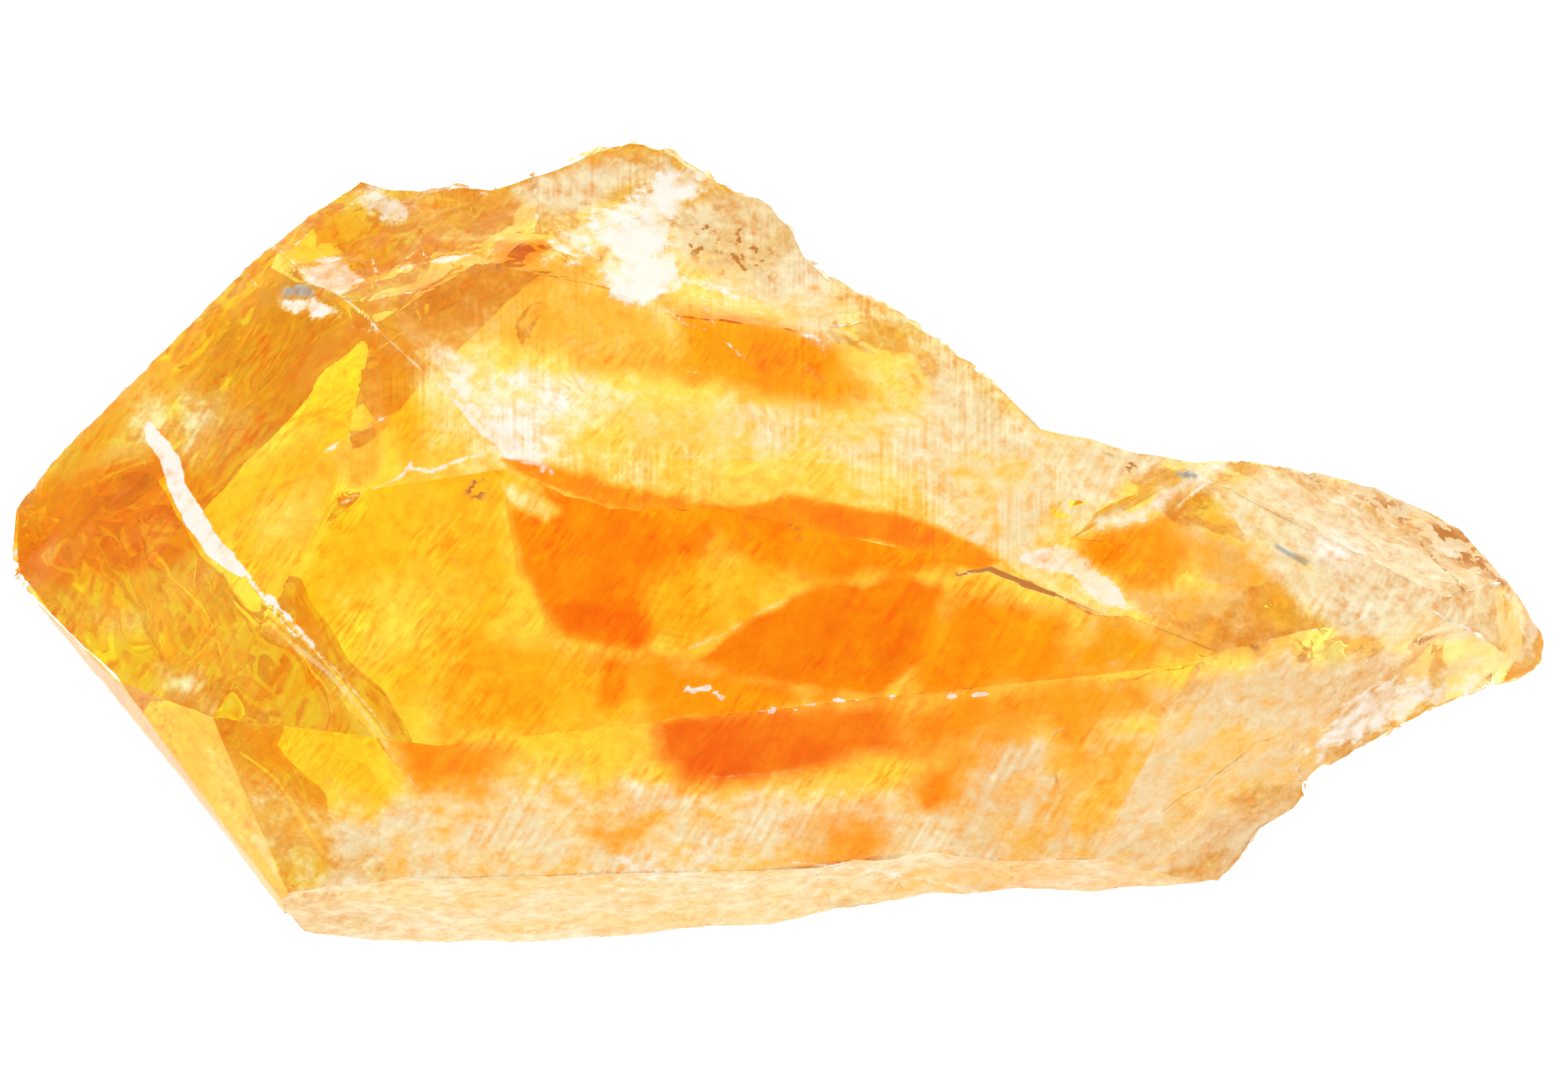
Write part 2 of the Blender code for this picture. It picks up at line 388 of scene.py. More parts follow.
def wantedLength(points, upper, setting):
    # Short near the drawn lines, longer elsewhere, longest underneath.
    wanted = np.where(upper, setting["topCell"], setting["underCell"])
    drawn = [(max(start, end), line) for _, _, start, end, _, line in allLines()]
    for _, _, soft, _, outline in roughPatches.values():
        if soft < setting["narrowSoft"]:
            drawn.append((setting["narrowWidth"], outline + outline[:1]))
    flat, reach = points[:, :2], setting["reach"]
    for width, line in drawn:
        box = np.array(line)
        near = upper & np.all((flat > box.min(0) - reach) & (flat < box.max(0) + reach), axis=1)
        spots = np.flatnonzero(near)
        gap, _ = lineGap(points[spots, 0], points[spots, 1], line)
        length = setting["lineCell"] + np.maximum(0, gap - width) * setting["cellGrowth"]
        wanted[spots] = np.minimum(wanted[spots], length)
    return wanted


def splitFaces(faces, mids):
    # Each triangle is split by which of its edges have a point at the middle, so neighbours always
    # meet point to point: one makes two triangles, two make three and three make four.
    halved = mids >= 0
    made = [faces[halved.sum(1) == 0]]
    for turn in range(3):
        f, m, h = (np.roll(rows, -turn, 1) for rows in (faces, mids, halved))
        one = h[:, 0] & ~h[:, 1] & ~h[:, 2]
        made.append(np.stack([f[one, 0], m[one, 0], f[one, 2]], 1))
        made.append(np.stack([m[one, 0], f[one, 1], f[one, 2]], 1))
        two = h[:, 0] & h[:, 1] & ~h[:, 2]
        made.append(np.stack([m[two, 0], f[two, 1], m[two, 1]], 1))
        made.append(np.stack([f[two, 0], m[two, 0], m[two, 1]], 1))
        made.append(np.stack([f[two, 0], m[two, 1], f[two, 2]], 1))
    three = halved.all(1)
    f, m = faces[three], mids[three]
    made.append(np.stack([f[:, 0], m[:, 0], m[:, 2]], 1))
    made.append(np.stack([m[:, 0], f[:, 1], m[:, 1]], 1))
    made.append(np.stack([m[:, 2], m[:, 1], f[:, 2]], 1))
    made.append(m)
    return np.concatenate(made)


def refine(points, faces, setting):
    # Each round halves every edge that is longer than is wanted at its middle.
    for _ in range(setting["rounds"]):
        normals, _ = faceNormals(points, faces)
        edges = np.sort(np.concatenate([faces[:, [0, 1]], faces[:, [1, 2]], faces[:, [2, 0]]]), axis=1)
        unique, inverse = np.unique(edges, axis=0, return_inverse=True)
        inverse = inverse.reshape(3, -1).T
        upper = np.zeros(len(unique), dtype=bool)
        upper[inverse[normals[:, 2] > setting["topSlope"]]] = True
        middle = (points[unique[:, 0]] + points[unique[:, 1]]) / 2
        length = np.linalg.norm(points[unique[:, 0]] - points[unique[:, 1]], axis=1)
        long = length > wantedLength(middle, upper, setting) * setting["slack"]
        if not long.any():
            break
        # in a triangle with a halved edge, its longest edge is halved too, which keeps triangles even
        for _ in range(3):
            order = np.argmax(length[inverse], axis=1)
            touched = long[inverse].any(1)
            long[inverse[touched, order[touched]]] = True
        number = np.full(len(unique), -1)
        number[long] = len(points) + np.arange(long.sum())
        points = np.concatenate([points, middle[long]])
        faces = splitFaces(faces, number[inverse])
    return points, faces


# Corners where the stone's faces meet, in mm.
corners = {
    "shoulder": (-18.3, -5.7, 17.8),
    "collar": (-14.4, 1.45, 15.9),
    "tip": (-24.9, 0, 9.5),
    "spineBend": (-11, -6.6, 17.75),
    "spineEnd": (13.5, -4, 16.15),
    "browLeft": (-8.1, 2.25, 15.5),
    "browRight": (6.95, -0.7, 15.5),
    "crestLeft": (-13.1, 7.1, 13.15),
}

# Each face goes through three points: corners by name, or places on the face in mm.
growthFaces = {
    "tip": ("shoulder", "collar", "tip"),
    "front": ("shoulder", "collar", "spineEnd"),
    "collar": ("collar", "browLeft", "crestLeft"),
    "brow": ("browLeft", "browRight", (-5, 9, 11.1)),
    "crest": ((-10, 9, 11.7), (4, 6.3, 11.7), (-5, 13.3, 6.4)),
    "crestChip": ("crestLeft", (-16.5, 9.4, 9.3), (-11, 11.5, 8.2)),
    "lowerLeft": ("shoulder", "spineBend", (-14, -11, 14.5)),
    "lower": ("spineBend", "spineEnd", (-1, -10.9, 13.1)),
    "lowerEdge": ((-10, -11.2, 13.6), (8, -10.3, 12.6), (-1, -12.8, 7)),
    "tipSide": ("shoulder", (-22.4, -4.2, 14), (-16.5, -10.4, 14.5)),
    "root": ((12.9, 1, 13.1), (16.3, -2.8, 15), (20, 0, 11.4)),
    "ledge": ((6.9, -0.75, 15.6), (12.5, -3, 15.95), (13.8, 2.5, 11.6)),
    "rootLower": ((17, -8, 9.7), (22.9, -4.9, 8.9), (17.5, -4.5, 12.9)),
    "rootEnd": ((24.9, -3.2, 8.1), (24.2, -1.9, 9.1), (21.5, -3, 12.1)),
    "rootRim": ((15.3, 2.7, 9.8), (20.6, 1.3, 8.1), (18.2, 0.7, 10.8)),
}


def facePlane(points):
    # The plane z = gx x + gy y + c through three points.
    spots = np.array([corners.get(point, point) for point in points])
    return np.linalg.solve(np.column_stack((spots[:, :2], np.ones(3))), spots[:, 2])


namingSlope = 0.08  # a triangle whose normal rises less than this is on the underside
turnCost = 14  # a quarter turn away from a face counts as this many mm of gap


def nameFaces(middles, normals):
    # Each upper triangle takes the growth face whose direction and height it is nearest to.
    names = list(growthFaces)
    cost = []
    for gx, gy, c in map(facePlane, growthFaces.values()):
        slant = math.sqrt(gx * gx + gy * gy + 1)
        turn = 1 - (normals @ np.array([-gx, -gy, 1.0])) / slant
        gap = np.abs(middles[:, 2] - (gx * middles[:, 0] + gy * middles[:, 1] + c)) / slant
        cost.append(turn * turnCost + gap)
    nearest = np.argmin(cost, axis=0)
    return np.where(normals[:, 2] > namingSlope, nearest, len(names)), names + ["under"]


# Groups of faces whose relief is alike.
reliefGroups = {
    "broken": ("crest", "crestChip", "rootRim"),
    "under": ("under",),
    "root": ("root", "ledge", "rootLower", "rootEnd", "lowerEdge"),
}
stepStretch = (0.6, 1.4, 1.0)


def relief(points, faces, names, faceNames, setting):
    # Each point sinks along its normal by the sum of worn edges, waves and its own group's roughness.
    sharp = spread(edgeSharpness(points, faces), faces)
    worn = sharp * (0.25 + 0.75 * eased(pattern("wear", points) * 0.9 + 0.4)) * setting["edgeWear"]
    waves = setting["topWaves"] * (1 + pattern("waves", points))
    share = {}
    for key, group in reliefGroups.items():
        inside = np.isin(faceNames, [names.index(name) for name in group]).astype(float)
        share[key] = spread(pointMean(inside, faces, len(points)), faces)
    broken = share["broken"] * setting["crestRough"] * (0.6 + 0.6 * pattern("broken", points))
    steps = pattern("steps", points * np.array(stepStretch))
    dents = np.abs(latticeNoise(points, 0.7, 47))
    under = share["under"] * setting["underRelief"] * (0.62 + 0.5 * steps + 0.10 * dents)
    tail = share["root"] * setting["rootWaves"] * (1 + pattern("rootWaves", points))
    depth = np.clip(worn + waves + broken + under + tail, 0, setting["deepest"])
    return points - pointNormals(points, faces) * depth[:, None]


shades = {
    "plain": (1.0, 0.86, 0.52),
    "ember": (0.68, 0.13, 0.0),
    "deep": (0.72, 0.215, 0.0),
    "amber": (0.80, 0.28, 0.002),
    "tipAmber": (1.0, 0.46, 0.01),
    "orange": (0.84, 0.33, 0.015),
    "gold": (0.97, 0.52, 0.045),
    "honey": (0.83, 0.44, 0.12),
    "lemon": (0.99, 0.63, 0.09),
    "tipLemon": (1.0, 0.80, 0.14),
    # pale: the painted light at the tip, and the tip's clouds
    "tipLight": (1.0, 0.93, 0.50),
    "straw": (0.99, 0.80, 0.36),
    "peach": (0.95, 0.61, 0.27),
    "butter": (1.0, 0.74, 0.30),
    "sand": (0.85, 0.60, 0.32),
    "cream": (0.90, 0.72, 0.42),
    "pale": (1.0, 0.80, 0.36),
    "snow": (1.0, 0.93, 0.80),
    # grey: the painted dark reflection in the corner, and grey lines
    "slate": (0.42, 0.40, 0.37),
    "underAmber": (1.0, 0.82, 0.25),
    "underGold": (1.0, 0.66, 0.18),
    "underPale": (1.0, 0.92, 0.68),
}

# Groups of faces that one patch may run across.
faceGroups = {
    "top": "tip front collar brow crest crestChip root ledge rootRim rootEnd rootLower lowerEdge",
    "crown": "collar brow crest crestChip root ledge rootRim rootEnd lowerEdge rootLower",
    "skirt": "lower lowerLeft lowerEdge rootLower",
}

# Patches and lines are drawn on close-ups of the stone seen from above. A close-up starts at left and
# top, takes in a width of the whole view, and is drawn closeUpDots wide.
wholeView = {"lengthMm": 50.0, "lengthDots": 2267, "middle": (1149.5, 793), "closeUpDots": 1568}
closeUps = {
    "left": (0, 480, 900),
    "crest": (300, 240, 900),
    "middle": (680, 560, 900),
    "right": (1250, 480, 1054),
    "lowLeft": (380, 980, 900),
    "lowRight": (1100, 960, 900),
}


def placed(closeUp, dots):
    # x = (left + a zoom - middle x) step and y = (middle y - top - b zoom) step, in mm from the
    # stone's middle, where zoom is the close-up's dots in one of its own and step the mm in one dot.
    if closeUp == "mm":
        return dots
    left, top, width = closeUps[closeUp]
    middleX, middleY = wholeView["middle"]
    step = wholeView["lengthMm"] / wholeView["lengthDots"]
    zoom = width / wholeView["closeUpDots"]
    return tuple(((left + a * zoom - middleX) * step, (middleY - top - b * zoom) * step) for a, b in dots)


# Soft patches of colour in the stone, and a few of painted light and shade (glints, the light through the
# tip, a dark reflection in the corner, shade under the brow's edge): the faces that each shows on, how soft
# its edge is in mm, its shade, how cloudy it is, and its outline in dots of a close-up or in mm.
colourPatches = {
    "tip side": ("tipSide", 0.8, "lemon", 0.3, "mm", ((-27, 6), (-9, 6), (-9, -16), (-27, -16))),
    "tip gold": ("tip", 0.6, "tipLemon", 0.05, "left", ((40, 450), (470, -20), (900, -60), (1000, 240),
        (870, 320), (700, 260), (540, 285), (380, 330), (200, 370))),
    # Painted light: a pale, cloudy patch for the light that shines through the tip.
    "tip light": ("tip", 1.1, "tipLight", 0.85, "left", ((360, 190), (600, 160), (560, 270), (420, 310),
        (280, 335))),
    "tip amber": ("tip", 0.35, "tipAmber", 0.08, "left", ((20, 440), (110, 393), (200, 370), (300, 347),
        (400, 330), (500, 370), (620, 430), (560, 560), (400, 620), (200, 700), (30, 640))),
    "tip middle": ("tip", 0.9, "lemon", 0.08, "left", ((560, 300), (850, 310), (900, 440), (720, 690),
        (620, 620), (520, 450))),
    "tip glow": ("tip", 0.5, "straw", 0.45, "left", ((690, 440), (840, 400), (830, 500), (760, 560),
        (680, 560))),
    "tip low": ("tip tipSide", 0.8, "tipLemon", 0.2, "left", ((60, 660), (250, 650), (560, 630),
        (690, 740), (560, 990), (260, 900), (100, 760))),
    "tip low cloud": ("tip", 0.5, "tipLight", 0.9, "left", ((400, 850), (520, 880), (560, 970),
        (440, 920))),
    "tip low cloud left": ("tip", 0.5, "tipLight", 0.4, "left", ((240, 740), (380, 720), (420, 800),
        (300, 790))),
    "collar": ("collar tip", 0.4, "gold", 0.25, "left", ((900, -20), (1050, 80), (1190, 210), (1310, 310),
        (1040, 380), (1000, 240))),
    "chip hollow": ("collar tip", 0.15, "honey", 0.35, "left", ((860, 320), (990, 240), (1000, 370),
        (910, 420))),
    "front left": ("front", 0.5, "lemon", 0.25, "left", ((860, 450), (1060, 360), (1320, 310), (1320, 640),
        (1240, 900), (980, 1000), (730, 690))),
    "front light": ("front", 0.9, "straw", 0.15, "left", ((960, 660), (1180, 640), (1180, 800),
        (1000, 900), (850, 830))),
    "front dusk": ("front", 0.4, "gold", 0.4, "left", ((860, 560), (960, 490), (1000, 600), (900, 700),
        (830, 700))),
    "heart": ("front", 0.2, "deep", 0.2, "middle", ((120, 270), (380, 280), (660, 320), (600, 520),
        (480, 690), (240, 650), (150, 480))),
    "heart core": ("front", 0.12, "ember", 0.15, "middle", ((240, 560), (500, 590), (450, 690),
        (260, 650))),
    "heart light": ("front", 0.6, "gold", 0.2, "middle", ((500, 520), (640, 440), (830, 460), (740, 600),
        (560, 680), (480, 640))),
    # Painted highlight: a glint of light on the front.
    "heart glint": ("front", 0.4, "lemon", 0.35, "middle", ((620, 500), (780, 480), (720, 580),
        (620, 560))),
    "lens": ("front", 0.12, "deep", 0.25, "middle", ((600, 710), (760, 600), (900, 530), (1080, 500),
        (1230, 520), (1200, 700), (1060, 800), (860, 780), (700, 750))),
    "ledge shade": ("front", 0.35, "amber", 0.12, "middle", ((640, 320), (830, 300), (1210, 370),
        (1260, 490), (1080, 495), (900, 515), (820, 470), (640, 440))),
    "front right": ("front", 0.8, "amber", 0.3, "middle", ((1230, 530), (1568, 560), (1568, 790),
        (1160, 820), (1130, 740))),
    "front far right": ("front", 0.8, "amber", 0.55, "right", ((520, 600), (740, 650), (720, 730),
        (560, 790), (400, 790))),
    "front low": ("front", 0.6, "gold", 0.4, "middle", ((-60, 640), (240, 650), (480, 710), (500, 870),
        (300, 905), (-60, 920))),
    "front low blush": ("front", 0.3, "deep", 0.3, "middle", ((360, 700), (470, 700), (420, 800),
        (330, 860))),
    "front low right": ("front", 0.4, "amber", 0.4, "middle", ((480, 700), (700, 745), (1060, 800),
        (900, 840), (480, 880))),
    "crack band": ("front lowerLeft lower tip", 0.12, "straw", 0.4, "mm", ((-16.6, -2.3), (-15.3, -3),
        (-13.9, -4.4), (-12.4, -6.6), (-11, -8.6), (-11.4, -8.8), (-13, -6.7), (-14.6, -4.6),
        (-16.3, -3))),
    # Painted highlight: a yellow glint of light on the front.
    "yellow glint": ("front", 0.12, "straw", 0.55, "left", ((1305, 412), (1380, 430), (1440, 478),
        (1400, 486), (1310, 450))),
    "low veil": ("lower lowerLeft lowerEdge", 0.9, "cream", 0.9, "lowLeft", ((0, 280), (500, 260),
        (1568, 330), (2600, 200), (2700, 900), (0, 900))),
    "low right": ("lower rootLower lowerEdge", 0.9, "sand", 0.8, "lowRight", ((560, 180), (1100, 140),
        (1600, 220), (1500, 700), (500, 700))),
    "low glow": ("lower", 0.9, "honey", 0.5, "lowRight", ((770, 190), (1000, 190), (1100, 300), (960, 440),
        (800, 430))),
    "low blot": ("lower", 1.1, "amber", 0.5, "lowRight", ((160, 400), (330, 440), (330, 560), (170, 540))),
    "low blot right": ("lower", 0.5, "amber", 0.5, "lowRight", ((420, 310), (520, 300), (550, 370),
        (440, 390))),
    "low blot left": ("lower", 0.5, "honey", 0.6, "lowLeft", ((880, 430), (1040, 370), (1000, 430),
        (900, 480))),
    "low deep": ("lower", 0.45, "ember", 0.25, "middle", ((490, 860), (900, 820), (1110, 810), (1150, 960),
        (900, 985), (560, 1050), (500, 960))),
    "low deep core": ("lower", 0.3, "ember", 0.2, "middle", ((800, 840), (950, 820), (940, 970),
        (830, 960))),
    "low amber right": ("lower", 0.9, "amber", 0.4, "middle", ((1100, 810), (1568, 770), (1560, 850),
        (1400, 900), (1130, 1000))),
    "low far right": ("lower", 0.8, "orange", 0.6, "right", ((320, 790), (660, 770), (720, 850),
        (500, 900))),
    "low amber left": ("lower lowerLeft", 0.5, "orange", 0.45, "lowLeft", ((320, 150), (640, 190),
        (600, 290), (430, 340))),
    "shoulder gold": ("lowerLeft lower tipSide", 0.4, "lemon", 0.2, "lowLeft", ((-60, 130), (310, 140),
        (370, 310), (300, 390), (100, 340), (-120, 200))),
    "shoulder light": ("lowerLeft", 0.4, "pale", 0.5, "lowLeft", ((190, 290), (300, 330), (290, 385),
        (210, 370))),
    "shoulder low": ("lowerLeft tipSide", 0.4, "straw", 0.45, "lowLeft", ((-120, 200), (100, 340),
        (220, 390), (190, 520), (110, 620), (-120, 430))),
    "brow cream": ("crown", 0.5, "pale", 0.6, "middle", ((-100, -500), (1700, -500), (1700, 700),
        (-100, 500))),
    "brow white": ("crown", 0.4, "snow", 0.85, "crest", ((440, 330), (520, 420), (700, 540), (980, 530),
        (1120, 600), (920, 700), (800, 760), (640, 560))),
    "brow honey": ("crown", 0.4, "honey", 0.45, "crest", ((500, 290), (700, 250), (1000, 230), (1060, 360),
        (1180, 345), (1220, 545), (1000, 540), (800, 470), (560, 400))),
    "brow deep": ("crown", 0.5, "amber", 0.35, "crest", ((1180, 340), (1420, 370), (1620, 440),
        (1720, 600), (1600, 670), (1380, 600), (1240, 560))),
    "brow core": ("crown", 0.5, "deep", 0.2, "crest", ((1400, 400), (1560, 440), (1600, 560),
        (1440, 540))),
    "brow mid": ("crown", 0.5, "cream", 0.7, "middle", ((340, 60), (1100, 60), (1250, 200), (1200, 240),
        (800, 190), (480, 190))),
    "brow foot": ("crown", 0.25, "butter", 0.55, "middle", ((460, 180), (800, 190), (1060, 230),
        (1210, 380), (980, 330), (680, 335), (500, 300))),
    "brow foot gold": ("crown", 0.25, "straw", 0.4, "middle", ((600, 220), (800, 205), (820, 290),
        (680, 320), (560, 300))),
    "brow right": ("crown", 0.8, "cream", 0.85, "right", ((160, 60), (420, 190), (560, 250), (720, 280),
        (480, 430), (340, 530), (200, 430), (100, 250))),
    "crest peach": ("crown", 0.4, "cream", 0.95, "crest", ((1180, 130), (1320, 60), (1490, 80),
        (1600, 230), (1640, 460), (1400, 350), (1220, 260))),
    "crest honey": ("crown", 0.4, "cream", 0.9, "crest", ((800, 40), (1000, -20), (1250, -20), (1100, 60),
        (1000, 110), (880, 140), (760, 130))),
    "crest amber": ("crown", 0.3, "peach", 0.4, "crest", ((480, 50), (600, 30), (720, 40), (860, 110),
        (700, 170), (560, 200), (500, 160))),
    "pocket right": ("crest crestChip brow collar", 0.12, "amber", 0.15, "crest", ((740, 190), (900, 185),
        (880, 240), (760, 243))),
    "pocket left": ("crest crestChip brow collar", 0.15, "gold", 0.25, "crest", ((560, 185), (730, 190),
        (700, 230), (510, 250))),
    "corner glass": ("top", 0.3, "gold", 0.3, "crest", ((180, 200), (330, 80), (480, 150), (500, 240),
        (430, 340), (350, 300), (240, 240))),
    # Painted reflection: a dark grey glint in the chipped corner.
    "corner grey reflection": ("top", 0.06, "slate", 0.9, "crest", ((203, 320), (270, 314), (284, 336), (205, 338))),
    "ledge amber": ("top", 0.3, "amber", 0.3, "right", ((480, 460), (700, 395), (780, 460), (700, 560),
        (600, 585), (540, 540))),
    "root honey": ("crown", 0.5, "honey", 0.7, "right", ((700, 395), (840, 460), (970, 560), (850, 600),
        (750, 540))),
    "root cream": ("top", 0.6, "cream", 0.95, "right", ((760, 330), (1000, 300), (1260, 440), (1440, 580),
        (1500, 720), (1100, 680), (960, 600))),
    "root pocket": ("crown", 0.5, "snow", 0.95, "right", ((950, 480), (1060, 440), (1130, 520),
        (1000, 520))),
    "root gold": ("top skirt", 0.4, "honey", 0.7, "right", ((600, 585), (860, 560), (880, 650),
        (1000, 660), (900, 730), (700, 730))),
    "root low": ("top skirt", 0.6, "sand", 0.85, "right", ((660, 780), (1000, 720), (1480, 720),
        (1060, 880), (1000, 1000), (700, 880))),
    "saddle grey": ("top", 0.3, "snow", 0.95, "right", ((480, 440), (640, 380), (760, 290), (850, 280),
        (760, 350), (620, 420))),
    # Painted shade: a darker band just below the brow's lower edge, drawn across the ridge.
    "rim": ("top", 0.08, "amber", 0.12, "mm", ((-8.9, 2.6), (-6.5, 2.1), (-4.2, 1.5), (-1.5, 1.1),
        (0.3, 1.4), (2.4, 1.1), (5, 0.4), (7.3, -0.7), (6.2, -1), (3, 0), (0, 0.3), (-4, 0.8), (-6, 1.2),
        (-8.5, 2.2))),
    "rim core": ("top", 0.3, "deep", 0.1, "mm", ((-1.5, 1), (0.3, 1.3), (5, 0.3), (5.6, -0.4), (2.4, 0.3),
        (-1, 0.5))),
    "under all": ("under", 2, "underPale", 0.12, "mm", ((-30, -20), (30, -20), (30, 20), (-30, 20))),
    "under tip": ("under", 2, "underAmber", 0.08, "mm", ((-30, -16), (-12, -16), (-13, 0), (-12, 16),
        (-30, 16))),
    "under middle": ("under", 2, "underGold", 0.1, "mm", ((-13, -8.5), (8, -7), (9, -2), (-2, -0.5),
        (-13, 3))),
}

# Frosted (white) and stained places, and white painted highlights at the long crack and the chipped corner:
# the layer, the faces, softness in mm, strength and outline.
roughPatches = {
    # Painted reflection: a white strip along the long crack, where the crack reflects light.
    "long crack": ("white", "tip collar front", 0.02, 1, "left", ((372, 240), (388, 243), (430, 290),
        (466, 340), (478, 400), (522, 462), (562, 530), (642, 622), (634, 641), (592, 622), (540, 582),
        (482, 505), (440, 425), (412, 345), (374, 287))),
    "crest snow": ("white", "crown", 0.45, 0.85, "crest", ((890, 180), (1010, 110), (1100, 60), (1260, 0),
        (1310, 40), (1230, 110), (1190, 180), (1240, 270), (1600, 460), (1480, 400), (1340, 325),
        (1240, 315), (1120, 358), (1040, 350), (1000, 240), (880, 240))),
    "crest white edge": ("white", "top", 0.3, 0.7, "crest", ((380, 75), (430, 45), (550, 110), (480, 150),
        (420, 115))),
    # Painted highlights: white glints in the chipped corner.
    "corner glints": ("white", "top", 0.2, 0.7, "crest", ((240, 270), (330, 230), (425, 285), (340, 330))),
    "corner glints low": ("white", "top", 0.2, 0.75, "mm", ((-16.2, 7.7), (-15.2, 7.8), (-14.3, 7.3),
        (-15.8, 7.4))),
    "brow crumbs": ("white", "brow collar", 0.2, 0.7, "crest", ((640, 560), (760, 660), (900, 790),
        (830, 770), (740, 720))),
    "ledge crumbs": ("white", "ledge front brow root", 0.15, 0.7, "right", ((350, 505), (450, 470),
        (560, 540), (605, 612), (540, 600), (480, 540))),
    "root hollow": ("white", "top skirt", 0.5, 0.7, "right", ((1010, 930), (1100, 810), (1240, 765),
        (1430, 780), (1200, 860), (1000, 960))),
    "root crust": ("white", "rootRim root rootEnd", 0.2, 0.45, "right", ((930, 285), (1200, 350),
        (1400, 450), (1540, 640), (1500, 690), (1440, 585), (1250, 445), (1060, 355))),
    "low frost": ("white", "lower lowerEdge", 0.5, 0.5, "lowLeft", ((860, 520), (1200, 430), (1240, 480),
        (900, 580))),
    "low frost left": ("white", "lower lowerLeft", 0.5, 0.45, "lowLeft", ((230, 560), (600, 540),
        (560, 610), (260, 610))),
    "root rust": ("stain", "top", 0.35, 0.5, "right", ((960, 310), (1200, 375), (1390, 470), (1500, 620),
        (1440, 580), (1250, 450), (1080, 370))),
    "crest specks": ("stain", "crest brow", 0.5, 0.3, "crest", ((1180, 130), (1340, 90), (1480, 210),
        (1460, 320), (1220, 250))),
    "crest blot": ("stain", "crest brow", 0.15, 0.65, "crest", ((1005, 240), (1030, 205), (1045, 215),
        (1020, 252))),
    "brow specks": ("stain", "brow crest", 0.3, 0.25, "crest", ((620, 250), (790, 240), (790, 300),
        (640, 290))),
    "front specks": ("stain", "front collar", 0.3, 0.3, "left", ((1140, 375), (1270, 390), (1240, 450),
        (1160, 420))),
    "front dust": ("stain", "front", 0.4, 0.25, "left", ((1150, 560), (1190, 590), (1180, 650),
        (1140, 640))),
    "ledge dust": ("stain", "front", 0.4, 0.25, "middle", ((700, 340), (1000, 350), (960, 420),
        (720, 390))),
    "root speck": ("stain", "root front rootLower", 0.12, 0.8, "right", ((848, 668), (888, 680),
        (886, 724), (866, 706))),
    "root spot": ("stain", "root rootEnd rootLower", 0.2, 0.45, "right", ((1220, 680), (1315, 678),
        (1270, 700), (1222, 716))),
    "root tip spot": ("stain", "rootEnd rootLower root", 0.2, 0.45, "right", ((1368, 790), (1420, 738),
        (1412, 782))),
    "saddle rust": ("stain", "brow root rootRim ledge", 0.15, 0.5, "right", ((553, 268), (620, 288),
        (642, 338), (600, 312))),
}
